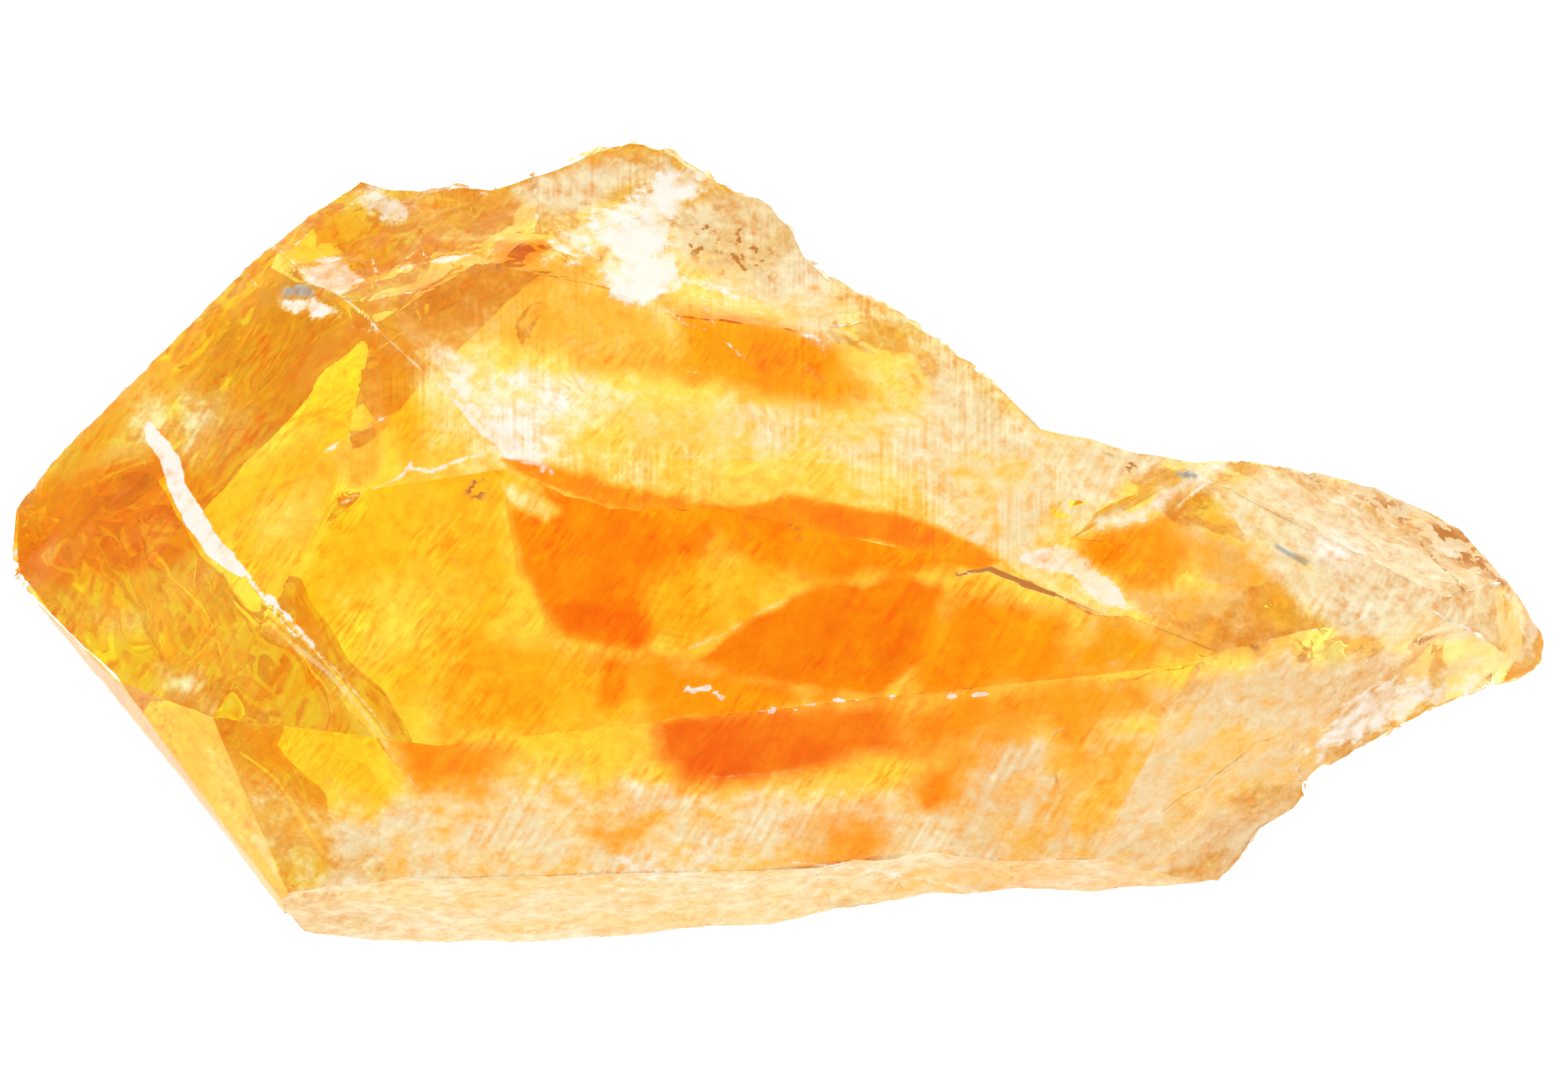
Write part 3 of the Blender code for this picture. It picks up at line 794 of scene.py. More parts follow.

# Cracks, chipped ledges and veins that are seen as lines, and the long crack's painted white reflection: the
# kind, the faces, the width in mm at the start and at the end, the strength, and the points.
lines = {
    # Painted reflection: white lines along the long crack, where it reflects light.
    "long crack reflection thin": ("snow", "tip front collar", 0.16, 0.12, 0.9, "left", ((600, 570), (650, 640),
        (705, 715), (770, 790))),
    "crack strand reflection": ("snow", "tip front collar", 0.26, 0.14, 1, "left", ((700, 690), (760, 750),
        (812, 808))),
    "crack strip": ("cream", "front lowerLeft lower", 0.13, 0.12, 0.8, "left", ((740, 790), (860, 885),
        (950, 990), (1010, 1075))),
    "crack strip edge": ("snow", "front lowerLeft lower", 0.05, 0.05, 0.6, "left", ((775, 785), (880, 880),
        (970, 985), (1020, 1060))),
    "crack strip low": ("cream", "lower lowerLeft", 0.14, 0.1, 0.9, "lowLeft", ((300, 130), (345, 215),
        (400, 285), (462, 362))),
    "crack tail": ("sand", "lower lowerLeft", 0.16, 0.1, 0.9, "lowLeft", ((560, 470), (620, 560),
        (660, 620))),
    "crack left edge": ("deep", "tip", 0.1, 0.14, 0.9, "left", ((440, 430), (500, 540), (560, 620),
        (620, 690), (680, 755))),
    "crack right edge": ("amber", "tip", 0.08, 0.1, 0.8, "left", ((475, 350), (520, 450), (570, 530),
        (650, 620), (705, 700))),
    "facet edge": ("deep", "tip front lowerLeft", 0.22, 0.16, 0.9, "left", ((560, 1000), (690, 740))),
    "facet edge upper": ("amber", "tip front collar", 0.1, 0.1, 0.9, "left", ((725, 690), (855, 465))),
    "stripe": ("ember", "tip front lowerLeft", 0.2, 0.18, 0.95, "left", ((660, 1005), (770, 800))),
    "stripe thin": ("deep", "tip front lowerLeft", 0.09, 0.07, 0.8, "left", ((730, 1000), (812, 868))),
    "tip streak": ("deep", "tip", 0.22, 0.16, 0.6, "left", ((805, 10), (755, 135))),
    "tip streak low": ("amber", "tip", 0.18, 0.12, 0.6, "left", ((745, 120), (700, 205))),
    "tip streak long": ("amber", "tip", 0.2, 0.16, 0.6, "left", ((560, 272), (700, 248), (860, 212))),
    "tip streak mid": ("amber", "tip", 0.3, 0.1, 0.5, "left", ((630, 520), (720, 410), (840, 370))),
    "ledge chips left": ("snow", "top", 0.1, 0.16, 0.75, "left", ((885, 452), (960, 420), (1040, 382),
        (1062, 352))),
    "ledge chips": ("snow", "top", 0.16, 0.08, 0.75, "left", ((1062, 362), (1110, 372), (1180, 342),
        (1262, 322))),
    "ridge chips top": ("snow", "brow collar tip crest", 0.06, 0.08, 0.5, "left", ((900, 0), (985, 20),
        (1050, 80), (1120, 140))),
    "ridge chips": ("snow", "brow collar", 0.12, 0.3, 0.8, "left", ((1120, 140), (1190, 210), (1250, 280),
        (1300, 310), (1400, 370))),
    "chip line": ("snow", "collar tip", 0.08, 0.12, 0.8, "left", ((842, 322), (900, 282), (995, 232))),
    "vein": ("snow", "brow crest", 0.12, 0.07, 0.8, "crest", ((1190, 370), (1230, 412), (1310, 430),
        (1370, 490), (1402, 506))),
    "vein side": ("snow", "brow crest", 0.06, 0.04, 0.6, "crest", ((1280, 335), (1312, 425))),
    "vein low": ("snow", "brow", 0.06, 0.04, 0.5, "crest", ((1130, 592), (1200, 582), (1290, 510))),
    "vein fork": ("peach", "brow", 0.08, 0.05, 0.8, "crest", ((1135, 590), (1070, 520))),
    "brow line": ("straw", "brow", 0.08, 0.08, 0.6, "crest", ((940, 590), (1130, 592), (1240, 606))),
    "brow rim": ("butter", "brow crest", 0.22, 0.16, 0.9, "right", ((-40, -10), (60, 60), (170, 140))),
    "brow fold": ("butter", "brow", 0.1, 0.1, 0.8, "middle", ((520, 195), (800, 192), (1040, 215),
        (1240, 290))),
    "rust thread": ("rust", "brow", 0.05, 0.05, 0.7, "crest", ((850, 290), (856, 530))),
    "rust thread right": ("rust", "brow", 0.04, 0.04, 0.6, "crest", ((888, 500), (886, 600))),
    "crest white line": ("snow", "crest crestChip brow collar", 0.12, 0.26, 0.8, "crest", ((500, 258),
        (620, 240), (740, 212))),
    "crest bright rim": ("snow", "crest crestChip", 0.06, 0.08, 0.6, "crest", ((560, 62), (640, 50),
        (720, 72))),
    "corner crack": ("snow", "tip crestChip collar crest", 0.08, 0.06, 0.7, "crest", ((176, 206),
        (270, 280), (370, 352), (468, 438))),
    "corner crack low": ("snow", "tip crestChip collar", 0.06, 0.04, 0.6, "crest", ((104, 268),
        (142, 332))),
    "corner crack right": ("snow", "tip crestChip collar crest", 0.08, 0.05, 0.7, "crest", ((428, 228),
        (452, 318))),
    "corner line": ("amber", "tip crestChip collar crest", 0.08, 0.08, 0.8, "crest", ((320, 96),
        (340, 210))),
    "corner line low": ("ember", "tip crestChip collar crest", 0.08, 0.12, 0.8, "crest", ((280, 372),
        (340, 345))),
    "lens light": ("butter", "front", 0.12, 0.08, 0.7, "middle", ((560, 690), (660, 650), (760, 590),
        (860, 545))),
    "heart stripe": ("amber", "front", 0.3, 0.22, 0.7, "middle", ((545, 490), (440, 700))),
    "heart stripe left": ("orange", "front", 0.3, 0.3, 0.6, "middle", ((440, 560), (330, 740))),
    "heart edge": ("orange", "front", 0.1, 0.1, 0.7, "middle", ((120, 300), (150, 490))),
    "spine crumbs": ("crumbs", "front lower", 0.1, 0.12, 0.8, "middle", ((560, 790), (640, 780),
        (700, 845), (760, 840))),
    "spine crumbs right": ("crumbs", "front lower", 0.1, 0.2, 0.8, "middle", ((760, 845), (880, 825),
        (985, 808), (1020, 808))),
    "spine crumbs far": ("crumbs", "front lower", 0.12, 0.06, 0.8, "middle", ((1020, 800), (1160, 805),
        (1380, 800))),
    "low crack": ("cream", "lower", 0.08, 0.08, 0.8, "middle", ((640, 1012), (740, 1004), (880, 990))),
    "low pale line": ("snow", "lower lowerEdge", 0.08, 0.14, 0.6, "lowLeft", ((780, 560), (900, 532),
        (1060, 520), (1200, 490), (1400, 500), (1568, 530))),
    "low pale line right": ("snow", "lower lowerEdge", 0.14, 0.06, 0.5, "lowRight", ((0, 560), (150, 550),
        (320, 570), (460, 590), (600, 620))),
    "low seam": ("rust", "lower", 0.06, 0.1, 0.8, "lowRight", ((775, 270), (785, 330), (802, 382))),
    "low step": ("sand", "lower", 0.14, 0.08, 0.8, "lowRight", ((820, 185), (780, 195), (750, 240))),
    "low thread": ("sand", "lower", 0.06, 0.06, 0.8, "lowRight", ((740, 400), (745, 600))),
    "edge stroke 1": ("peach", "lower lowerEdge", 0.22, 0.08, 0.8, "lowLeft", ((1060, 540), (1110, 640))),
    "edge stroke 2": ("peach", "lower lowerEdge", 0.22, 0.08, 0.8, "lowLeft", ((1180, 540), (1250, 620))),
    "edge stroke 3": ("peach", "lower lowerEdge", 0.18, 0.08, 0.8, "lowLeft", ((1300, 560), (1360, 610))),
    "edge stroke 4": ("rust", "lower lowerEdge", 0.06, 0.04, 0.8, "lowLeft", ((1430, 540), (1470, 620))),
    "edge stroke 5": ("peach", "lower lowerEdge", 0.2, 0.08, 0.8, "lowRight", ((100, 575), (160, 650))),
    "edge stroke 6": ("rust", "lower lowerEdge", 0.06, 0.04, 0.8, "lowRight", ((180, 590), (210, 640))),
    "edge stroke 7": ("rust", "lower lowerEdge", 0.1, 0.06, 0.8, "lowRight", ((378, 580), (410, 635))),
    "shoulder line": ("orange", "lowerLeft tipSide", 0.14, 0.1, 0.8, "lowLeft", ((0, 290), (120, 335),
        (215, 380))),
    "shoulder streak": ("straw", "lowerLeft tipSide", 0.2, 0.12, 0.8, "lowLeft", ((0, 430), (60, 540))),
    "ledge seam": ("rust", "top", 0.2, 0.2, 1, "right", ((230, 540), (300, 528), (380, 562), (440, 580))),
    "ledge seam low": ("rust", "top", 0.14, 0.06, 0.9, "right", ((440, 580), (510, 605), (585, 637))),
    "ledge rim": ("snow", "brow ledge root", 0.06, 0.1, 0.6, "right", ((340, 530), (480, 452), (600, 430),
        (700, 400), (760, 350), (850, 290))),
    "root rim line": ("snow", "root rootRim rootEnd", 0.06, 0.1, 0.6, "right", ((1060, 370), (1180, 420),
        (1330, 510), (1440, 585), (1500, 720))),
    "root rim rust": ("rust", "root rootRim", 0.12, 0.08, 0.9, "right", ((1242, 455), (1300, 520),
        (1370, 618))),
    "root grey": ("slate", "root", 0.1, 0.14, 0.8, "right", ((928, 478), (990, 512))),
    "saddle shade": ("slate", "brow root rootRim ledge", 0.1, 0.14, 0.6, "right", ((712, 320),
        (752, 322))),
    "saddle thread": ("rust", "brow root", 0.06, 0.06, 0.8, "right", ((640, 336), (698, 312))),
    "root fold": ("honey", "root", 0.08, 0.08, 0.6, "right", ((750, 540), (860, 570), (960, 630))),
    "root arc": ("butter", "rootLower lower root", 0.1, 0.1, 0.8, "right", ((655, 770), (680, 830),
        (730, 868))),
    "root stripe": ("honey", "root rootEnd", 0.08, 0.08, 0.6, "right", ((1220, 640), (1180, 720),
        (1090, 820))),
}

for table in (colourPatches, roughPatches, lines):
    for name, (*look, closeUp, dots) in table.items():
        table[name] = (*look, placed(closeUp, dots))

# Bundles of fine growth lines: the kind, the faces, the width and the length of each line in mm, where the
# first one starts, the step to the next one, how many there are, and their lean in degrees.
bundles = {
    "heart": ("deep", "front", 0.07, 3.4, (-4.1, -3.6), (0.23, 0.10), 7, 61),
    "heart low": ("amber", "front lower", 0.06, 2.6, (-7.6, -4.4), (0.31, 0.05), 6, 61),
    "facet": ("deep", "front tip", 0.05, 2.4, (-16.6, -5.4), (0.19, 0.04), 8, 61),
    "brow": ("orange", "brow", 0.05, 3.0, (-7.2, 4.6), (0.17, 0.06), 8, 90),
    "brow middle": ("honey", "brow", 0.05, 2.8, (-1.4, 3.9), (0.21, -0.05), 7, 90),
    "collar": ("honey", "collar tip", 0.05, 3.4, (-12.6, 2.9), (0.26, 0.14), 8, 90),
    "lens": ("ember", "front", 0.05, 2.2, (3.6, -4.4), (0.27, 0.03), 6, 58),
    "skirt": ("honey", "skirt", 0.06, 2.2, (-9.6, -8.8), (0.63, 0.12), 9, 104),
}
bundleLook = {
    "strength": 0.8,
    "startWidth": 1.3,
    "endWidth": 0.5,
    "shift": 0.25,  # most that a line's start is moved along it, in mm
    "shiftTurn": 2.4,  # radians from one line to the next
    "shortest": 0.55,
    "lengthening": 0.45,
    "lengthTurn": 1.7,
}


def bundleLines():
    # Line k starts k steps along, and sines of k shift its start and change its length.
    look = bundleLook
    for kind, where, width, length, start, step, count, lean in bundles.values():
        way = np.array([math.cos(math.radians(lean)), math.sin(math.radians(lean))])
        for k in range(count):
            shift = look["shift"] * math.sin(look["shiftTurn"] * k)
            share = look["shortest"] + look["lengthening"] * abs(math.sin(look["lengthTurn"] * k + 1))
            first = np.array(start) + k * np.array(step) + shift * way
            last = first + way * length * share
            yield (kind, where, width * look["startWidth"], width * look["endWidth"], look["strength"],
                   (tuple(first), tuple(last)))


def allLines():
    return [*lines.values(), *bundleLines()]


lineLayers = {  # the layer that each kind of line is drawn in
    "snow": "white", "crumbs": "white", "rust": "stain", "slate": "tint",
    "ember": "dark", "deep": "dark", "amber": "dark", "orange": "dark", "honey": "dark",
    "peach": "pale", "cream": "pale", "straw": "pale", "butter": "pale", "sand": "pale",
}

grain = {  # lean of the streaks on each face, in degrees
    "tip": 58, "collar": 66, "front": 60, "brow": 90, "crest": 35, "crestChip": 20, "lower": 72,
    "lowerLeft": 50, "lowerEdge": 62, "tipSide": 50, "root": 55, "ledge": 60, "rootLower": 40,
    "rootEnd": 50, "rootRim": 150, "under": 80,
}
grainShown = {"brow": "collar brow crest", "front": "front lower tip root rootEnd"}
streakLook = {"along": 0.30, "across": 1.25, "height": 0.2, "bend": 0.8, "bendScale": 0.35, "firstSeed": 81}


def streaks(points, lean, seed):
    # Noise drawn out along one direction, given by its lean from the x axis in degrees.
    a, look = math.radians(lean), streakLook
    along = points[:, 0] * math.cos(a) + points[:, 1] * math.sin(a)
    across = points[:, 1] * math.cos(a) - points[:, 0] * math.sin(a)
    bend = latticeNoise(points, look["bendScale"], seed + 5) * look["bend"]
    drawnOut = (along * look["along"], (across + bend) * look["across"], points[:, 2] * look["height"])
    return fractalNoise(np.stack(drawnOut, 1), 1.0, seed, 3)


paint = {
    "cloud": 0.10,  # how cloudy the plain stone is
    "lineCloud": 0.9,  # and a line in the tint
    "mostCloud": 0.95,
    "glassDepth": 1.55,  # how much deeper clear stone is tinted than cloudy stone
    "streakShare": 0.55,
    "blotchShare": 0.45,
    "streakDepth": 0.34,
    "veil": (0.80, 0.38),  # the least that streaks leave of the cloud, and what they add to it
    "hatch": (0.15, 1.4),  # how much of the stone is hatched, and how unevenly
    "hatchInCloud": 0.8,
    "grain": (0.35, 1.6),  # the same for the growth lines
    "wander": (0.10, 0.45),  # of a patch's outline: in mm, and as a share of its softness
    "roughWander": 0.5,
    "patchSharp": 0.05,  # least width of a patch's edge, in mm
    "roughSharp": 0.04,
    "mottle": 1.1,  # how mottled a soft rough patch is
    "mottleTop": 1.2,
    "roughReach": 3,  # how far a mark's strength is kept, in widths of its soft edge
    "lineReach": 6,
    "lineSoft": 0.07,  # width of a line's edge, in mm
    "lineUneven": (0.8, 0.8),  # share of a line's width that is drawn, and how much that varies
    "crumbs": (0.10, 0.30),  # how much crumbs narrow a line and how uneven they are, in mm
    "farthest": 8.0,  # gap kept for a place with nothing near it
}


# The stone's colours, and how cloudy, white and stained it is. Each layer is kept for each corner of
# each triangle, so that it can change sharply at a ridge.
class Paint:
    def __init__(self, points, faces, faceNames, names):
        self.points, self.faces, self.faceNames, self.names = points, faces, faceNames, names
        self.x, self.y = points[:, 0], points[:, 1]
        self.ragged, self.fineRagged = pattern("ragged", points), pattern("fineRagged", points)
        self.blotch = pattern("blotch", points)[faces]
        size = (len(faces), 3)
        self.tint = np.ones(size + (3,)) * np.array(shades["plain"])
        self.layers = {name: np.zeros(size) for name in ("cloud", "white", "stain")}
        self.layers["cloud"] += paint["cloud"]
        start, rise = paint["hatch"]
        self.layers["hatch"] = eased(start + rise * pattern("hatch", points))[faces]
        self.gaps = {name: np.full(size, paint["farthest"]) for name in ("white", "stain", "dark", "pale")}

    def shown(self, where):
        wanted = " ".join(faceGroups.get(name, name) for name in where.split())
        return np.isin(self.faceNames, [self.names.index(name) for name in wanted.split()])

    def lay(self, rows, share, shade, cloud):
        # The tint and the cloud go towards a shade and a cloudiness by the share.
        self.tint[rows] += (np.array(shades[shade]) - self.tint[rows]) * share[..., None]
        self.layers["cloud"][rows] += (cloud - self.layers["cloud"][rows]) * share

    def layNearest(self, layer, rows, gap, strength, reach):
        # The gap to a layer's nearest mark, and that mark's strength as far as it reaches.
        nearer = gap < self.gaps[layer][rows]
        self.gaps[layer][rows] = np.where(nearer, gap, self.gaps[layer][rows])
        if layer in self.layers:
            self.layers[layer][rows] = np.where(nearer & (gap < reach), strength, self.layers[layer][rows])

    def layPatch(self, where, soft, shade, cloud, outline):
        wander, softWander = paint["wander"]
        gap = outlineGap(self.x, self.y, outline) + self.ragged * (wander + softWander * soft)
        rows = np.flatnonzero(self.shown(where))
        self.lay(rows, eased(0.5 - gap / (2 * soft + paint["patchSharp"]))[self.faces[rows]], shade, cloud)

    def layRough(self, layer, where, soft, strength, outline):
        rows = np.flatnonzero(self.shown(where))
        gap = outlineGap(self.x, self.y, outline) + self.ragged * paint["roughWander"] * soft
        gap = (gap / (paint["roughSharp"] + soft))[self.faces[rows]]
        mottled = 1 + paint["mottle"] * soft * (self.fineRagged[self.faces[rows]] + self.blotch[rows])
        strength = strength * np.clip(mottled, 0, paint["mottleTop"])
        self.layNearest(layer, rows, gap, strength, paint["roughReach"])

    def layStreaks(self):
        # Growth streaks and blotches make the shade deeper or lighter and the cloud thicker or thinner.
        streak = np.zeros(self.blotch.shape)
        for k, name in enumerate(self.names):
            rows = np.flatnonzero(self.faceNames == k)
            if len(rows):
                used, back = np.unique(self.faces[rows], return_inverse=True)
                seed = streakLook["firstSeed"] + k
                streak[rows] = streaks(self.points[used], grain[name], seed)[back.reshape(-1, 3)]
        change = np.clip(paint["streakShare"] * streak + paint["blotchShare"] * self.blotch, -1, 1)
        self.tint = np.clip(self.tint, 0.001, 1) ** (1 - paint["streakDepth"] * change[..., None])
        veil = eased(0.5 + 0.9 * self.blotch + 0.5 * streak)
        least, added = paint["veil"]
        self.layers["cloud"] = np.clip(self.layers["cloud"] * (least + added * veil), 0, paint["mostCloud"])
        self.layers["hatch"] *= 1 - paint["hatchInCloud"] * self.layers["cloud"]

    def layLine(self, kind, where, start, end, strength, line):
        # The gap to the line, less half its width there, over the softness of its edge.
        low, high = np.min(line, axis=0) - 1, np.max(line, axis=0) + 1
        close = np.all((self.points[:, :2] > low) & (self.points[:, :2] < high), axis=1)
        rows = np.flatnonzero(self.shown(where) & close[self.faces].any(1))
        if not len(rows):
            return
        near, place = np.unique(self.faces[rows], return_inverse=True)
        gap, along = lineGap(self.x[near], self.y[near], line)
        mean, change = paint["lineUneven"]
        uneven = np.clip(mean + change * self.ragged[near], 0.2, 1.3)
        gap = gap - (start + (end - start) * along) / 2 * uneven
        if kind == "crumbs":
            narrowing, roughness = paint["crumbs"]
            gap = gap + narrowing - roughness * self.fineRagged[near]
        gap = gap[place.reshape(-1, 3)] / paint["lineSoft"]
        if lineLayers[kind] == "tint":
            self.lay(rows, eased(1 - gap), kind, paint["lineCloud"])
        else:
            self.layNearest(lineLayers[kind], rows, gap, strength, paint["lineReach"])

    def write(self, mesh):
        for name, values in self.gaps.items():
            self.layers[name + "Gap"] = np.minimum(values, paint["farthest"])
        least, change = paint["grain"]
        for name, group in grainShown.items():
            share = np.clip(least + change * self.blotch, 0, 1)
            self.layers[name + "Grain"] = self.shown(group)[:, None] * share
        solid = np.ones(self.tint.shape[:2] + (1,))
        for name, colours in {"tint": self.tint, "glass": self.tint ** paint["glassDepth"]}.items():
            four = np.concatenate([colours, solid], axis=2).astype(np.float32)
            mesh.attributes.new(name, "FLOAT_COLOR", "CORNER").data.foreach_set("color", four.ravel())
        for name, values in self.layers.items():
            made = mesh.attributes.new(name, "FLOAT", "CORNER")
            made.data.foreach_set("value", values.astype(np.float32).ravel())


def paintStone(mesh, points, faces, faceNames, names):
    stonePaint = Paint(points, faces, faceNames, names)
    for patch in colourPatches.values():
        stonePaint.layPatch(*patch)
    for patch in roughPatches.values():
        stonePaint.layRough(*patch)
    stonePaint.layStreaks()
    for line in allLines():
        stonePaint.layLine(*line)
    stonePaint.write(mesh)


finish = {
    "ior": 1.544,
    "clearRoughness": 0.0,
    "milkRoughness": 0.5,
    "milkSeeThrough": 0.6,
    "chalkRoughness": 0.6,
    "chalkShine": 0.3,
    "shineTint": (1.0, 0.55, 0.10, 1.0),
    "absorb": (1.0, 0.955, 0.25, 1.0),
    "absorbDensity": 170.0,
    "lift": (0.3, 0.45, 0.50, 1.0),
    "sink": (1.0, 0.42, 0.10, 1.0),
    "pale": (1.0, 0.82, 0.46, 1.0),
    # the white of frost and of the painted highlights
    "snow": (1.0, 0.95, 0.86, 1.0),
    "stain": (0.58, 0.20, 0.02, 1.0),
    # lengths in mm along x, y and z, lean in degrees and detail
    "upright": ((3.0, 0.12, 3.0), 90, 0.0),
    "leaning": ((3.0, 0.16, 3.0), 61, 0.0),
    "strokes": ((0.70, 0.15, 0.5), 52, 1.0),
    "specks": (2000.0, 2.0, 0.7),  # scale per metre, detail and roughness
    # how strongly each pattern marks the stone
    "stripeWeight": 1.4,
    "speckWeight": 2.3,
    "strokeWeight": 5.0,
    "lineEdge": 1.5,  # how ragged the specks make a mark's edge
    "whiteEdge": 2.4,
    "stainEdge": 2.0,
    "stripesInMilk": 0.4,
    "mostWhite": 0.96,
    "mostMilk": 0.85,
    "mostPale": 0.45,
}


def stoneMaterial(look):
    # Clear glass goes over to milky quartz by the cloud, and both to opaque chalk where it is white,
    # stained or pale. Stripes, specks and strokes make the colour lighter and deeper.
    graph = Graph("citrine")
    place = graph.add("ShaderNodeTexCoord", None, None, "Object")

    def painted(name, output="Fac"):
        return graph.add("ShaderNodeAttribute", {"attribute_name": name}, None, output)

    def grown(lengths, lean, detail):
        return graph.noise(graph.stretched(place, lengths, lean), 1.0, detail) - 0.5

    specks = graph.noise(place, *look["specks"]) - 0.5
    stripes = painted("browGrain") * grown(*look["upright"]) + painted("frontGrain") * grown(*look["leaning"])
    strokes = grown(*look["strokes"]) * painted("hatch")

    def drawn(name, raggedness):  # a layer kept as the distance to its edge over its softness
        return (specks * raggedness - painted(name + "Gap")).rise(-0.5, 0.5)

    mark = stripes * look["stripeWeight"] + specks * look["speckWeight"] + strokes * look["strokeWeight"]
    dark, pale = drawn("dark", look["lineEdge"]), drawn("pale", look["lineEdge"])
    lift, sink = (mark * 0.8).most(0.0), (mark * -1.0).most(0.0).most(dark * 0.7)

    def toned(colour, strength):  # lighter and deeper by the mark, in the colour's own hue
        lighter = graph.mix(lift * strength, colour, look["lift"], "DODGE")
        return graph.mix(sink * strength, lighter, look["sink"], "MULTIPLY")

    shade = toned(painted("tint", "Color"), 0.8)
    clear = graph.principled({
        "Base Color": toned(painted("glass", "Color"), 1.0), "Roughness": look["clearRoughness"],
        "IOR": look["ior"], "Transmission Weight": 1.0, "Specular Tint": look["shineTint"]})
    milk = graph.principled({
        "Base Color": shade, "Roughness": look["milkRoughness"], "IOR": look["ior"],
        "Transmission Weight": look["milkSeeThrough"], "Specular Tint": look["shineTint"]})
    # white is frost, and also the painted highlights of the long crack and the chipped corner
    cloud, white = painted("cloud"), painted("white") * drawn("white", look["whiteEdge"])
    stain = drawn("stain", look["stainEdge"]) * (painted("stain") * 0.3 - specks).rise(0.14, 0.20)
    snow = (white * 1.3 + specks * 1.8 - 0.3).most(0.0).least(1.0)
    chalkColour = graph.mix(snow, graph.mix(pale * 0.7, shade, look["pale"]), look["snow"])
    chalk = graph.principled({
        "Base Color": graph.mix(stain, chalkColour, look["stain"]), "Roughness": look["chalkRoughness"],
        "IOR": look["ior"], "Specular IOR Level": look["chalkShine"]})
    faint = look["stripesInMilk"]
    milky = cloud + (specks + stripes * faint) * cloud
    thick = ((cloud + specks + stripes * faint - 0.5) * 1.6).least(look["mostMilk"])
    opaque = (white * 1.1).least(look["mostWhite"]).most(thick).most(stain).most(pale * look["mostPale"])
    quartz = graph.add("ShaderNodeMixShader", None, {0: milky, 1: clear, 2: milk})
    whole = graph.add("ShaderNodeMixShader", None, {0: opaque, 1: quartz, 2: chalk})
    volume = graph.add("ShaderNodeVolumeAbsorption", None, {
        "Color": look["absorb"], "Density": look["absorbDensity"]})
    return graph.finish(whole, volume)


def crackMaterial(look):
    graph = Graph("citrine_crack")
    return graph.finish(graph.principled({
        "Base Color": plainWhite, "Roughness": 0.0, "IOR": look["ior"], "Transmission Weight": 1.0}))


# Thin cracks inside the stone: the line of the upper edge, the way down from it, the gap's width,
# all in mm, and how much the sheet waves.
cracks = {
    "long crack": {
        "edge": ((-20.5, 3.7, 9.4), (-19.5, 2.2, 11.0), (-18.6, 0.5, 12.6), (-17.3, -1.2, 14.4),
                 (-16.0, -2.6, 15.9), (-14.3, -4.4, 16.6), (-12.7, -6.4, 16.6), (-11.4, -8.4, 15.3)),
        "down": (-0.6, -0.5, -4.6), "gap": 0.04, "wave": 0.10},
    "corner crack": {
        "edge": ((-16.3, 8.6, 8.3), (-14.9, 7.8, 10.0), (-13.6, 6.9, 11.2)),
        "down": (1.0, 1.6, -2.4), "gap": 0.05, "wave": 0.2},
    "root veil": {
        "edge": ((13.6, 0.6, 8.6), (15.6, -1.4, 9.4), (16.6, -3.6, 9.6)),
        "down": (1.6, 0.6, -2.4), "gap": 0.04, "wave": 0.3},
}
crackGrid = {"along": 46, "across": 22, "firstSeed": 100, "nextSeed": 7}


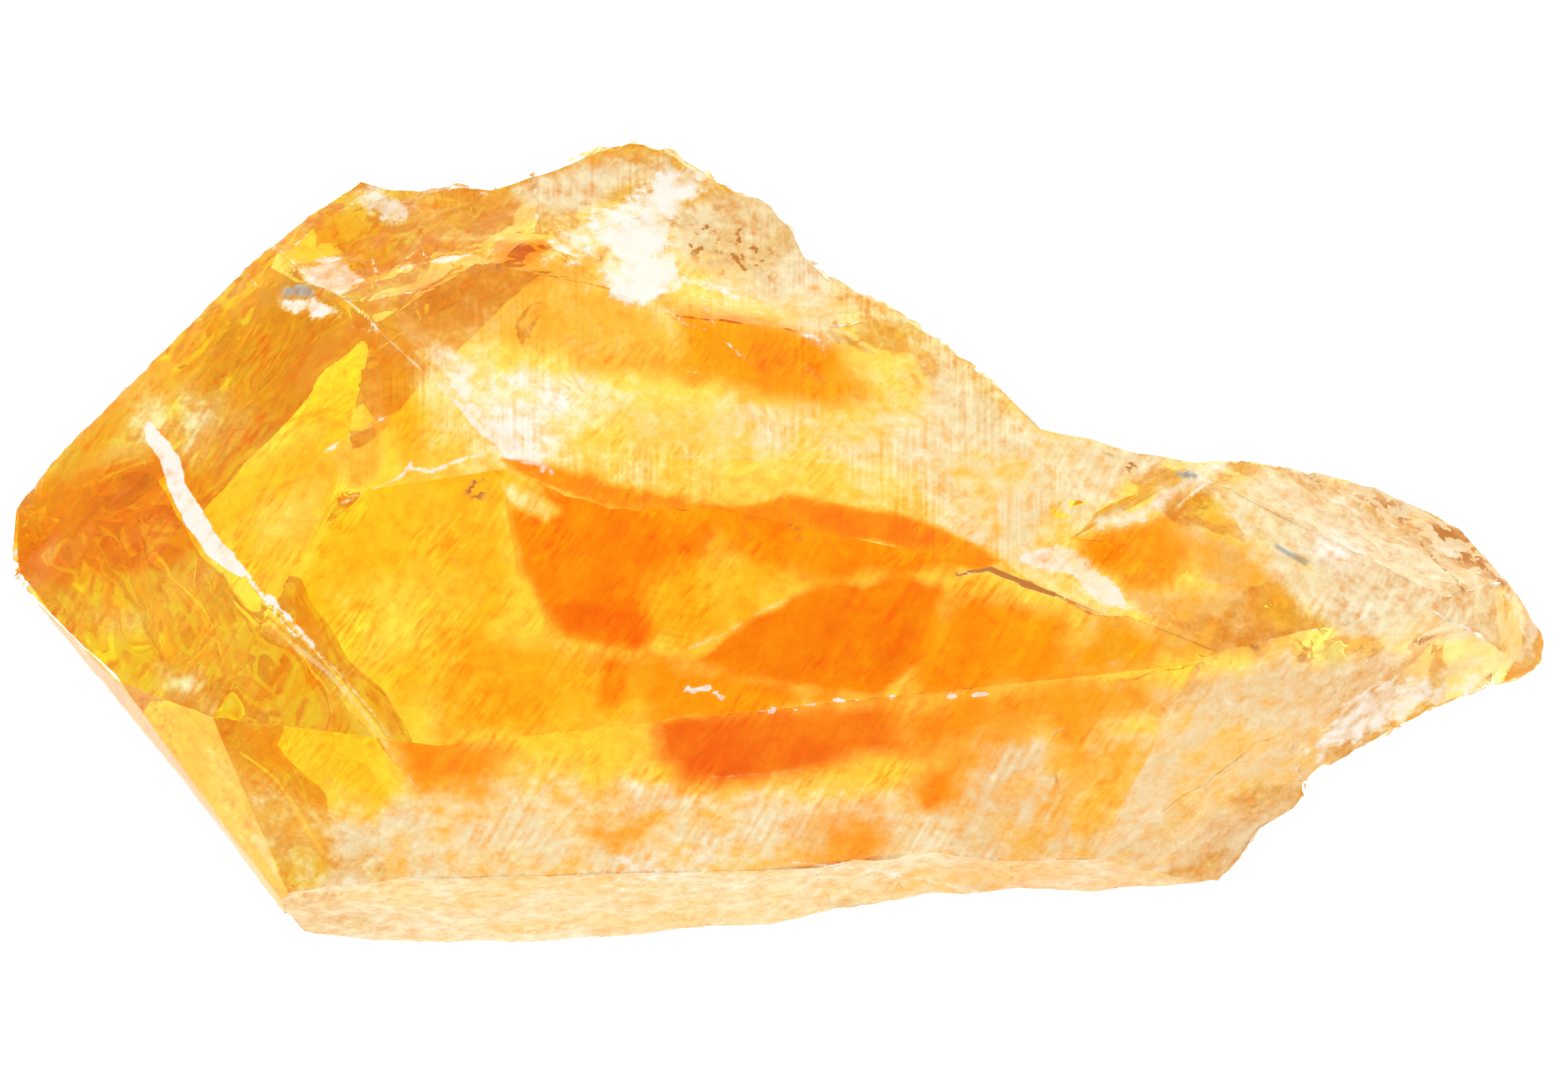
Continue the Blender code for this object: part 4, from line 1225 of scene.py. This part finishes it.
def crackSheet(crack, seed, along, across):
    # A lens of air: a line swept down along a straight way, waved by noise, with its two sides parted by
    # a gap that closes at the rim. The rim is ragged because its reach varies along the line.
    edge = np.array(crack["edge"])
    u = np.linspace(0, 1, along)[:, None, None]
    v = np.linspace(0, 1, across)[None, :, None]
    way = np.linspace(0, 1, len(edge))
    line = np.stack([np.interp(u[:, 0, 0], way, edge[:, k]) for k in range(3)], axis=1)
    for _ in range(4):
        line[1:-1] = (line[:-2] + 2 * line[1:-1] + line[2:]) / 4
    reach = 0.75 + 0.25 * fractalNoise(np.repeat(u[:, 0], 3, 1) * 6, 1.0, seed + 40, 3)[:, None, None]
    reach = reach * np.sqrt(np.clip(1 - (2 * u - 1) ** 6, 0.02, 1))
    middle = line[:, None, :] + v * reach * np.array(crack["down"])
    normal = np.cross(np.gradient(middle, axis=0), np.gradient(middle, axis=1))
    normal /= np.maximum(np.linalg.norm(normal, axis=2, keepdims=True), 1e-12)
    wave = fractalNoise(middle.reshape(-1, 3), 0.22, seed, 2).reshape(along, across, 1)
    middle = middle + normal * (wave * crack["wave"])
    rim = np.clip(16 * u * (1 - u), 0, 1) * np.clip(16 * v * (1 - v), 0, 1)
    uneven = 1 + 0.3 * latticeNoise(middle.reshape(-1, 3), 0.5, seed + 9).reshape(along, across, 1)
    half = 0.5 * crack["gap"] * rim * uneven
    sides = np.concatenate([(middle + normal * half).reshape(-1, 3), (middle - normal * half).reshape(-1, 3)])
    i, j = np.meshgrid(np.arange(along - 1), np.arange(across - 1), indexing="ij")
    a = (i * across + j).ravel()
    quads = np.stack([a, a + across, a + across + 1, a + 1], axis=1)  # these face along the normal
    # the stone is on the outer side, so both sides face into the gap
    return sides * mm, np.concatenate([quads[:, ::-1], quads + along * across])


def closedSheet(name, sides, quads):
    # The two sides joined at the rim, without the triangles that both would share there.
    sheet = bpy.data.meshes.new(name)
    sheet.from_pydata(sides.tolist(), [], quads.tolist())
    bm = bmesh.new()
    bm.from_mesh(sheet)
    bmesh.ops.remove_doubles(bm, verts=bm.verts, dist=0.0005 * mm)
    bmesh.ops.triangulate(bm, faces=bm.faces)
    found = {}
    for face in bm.faces:
        face.material_index = 1  # the cracks' own material
        found.setdefault(frozenset(face.verts), []).append(face)
    shared = [face for pair in found.values() if len(pair) > 1 for face in pair]
    bmesh.ops.delete(bm, geom=shared, context="FACES")
    bm.to_mesh(sheet)
    bm.free()
    return sheet


def addCracks(mesh, grid):
    bm = bmesh.new()
    bm.from_mesh(mesh)
    for k, (name, crack) in enumerate(cracks.items()):
        seed = grid["firstSeed"] + grid["nextSeed"] * k
        bm.from_mesh(closedSheet(name, *crackSheet(crack, seed, grid["along"], grid["across"])))
    bm.to_mesh(mesh)
    bm.free()


def buildStone(setting):
    points, faces = refine(*plainCopy(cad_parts["citrine_point"]), setting)
    normals, _ = faceNormals(points, faces)
    faceNames, names = nameFaces(points[faces].mean(1), normals)
    low, high = (np.array(c) / mm for c in cadBox)
    sunk = np.clip(relief(points, faces, names, faceNames, setting), low, high) * mm
    mesh = bpy.data.meshes.new("citrine_stone")
    mesh.from_pydata(sunk.tolist(), [], faces.tolist())
    paintStone(mesh, points, faces, faceNames, names)
    made = bpy.data.objects.new("citrine_stone", mesh)
    bpy.context.scene.collection.objects.link(made)
    mesh.materials.append(stoneMaterial(finish))
    mesh.materials.append(crackMaterial(finish))
    addCracks(mesh, crackGrid)
    print("stone:", len(mesh.vertices), "points", len(mesh.polygons), "triangles")
    mesh.shade_smooth()
    mesh.set_sharp_from_angle(angle=math.radians(setting["sharpAngle"]))
    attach(made, "root")
    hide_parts("citrine_point")


buildStone(stone)
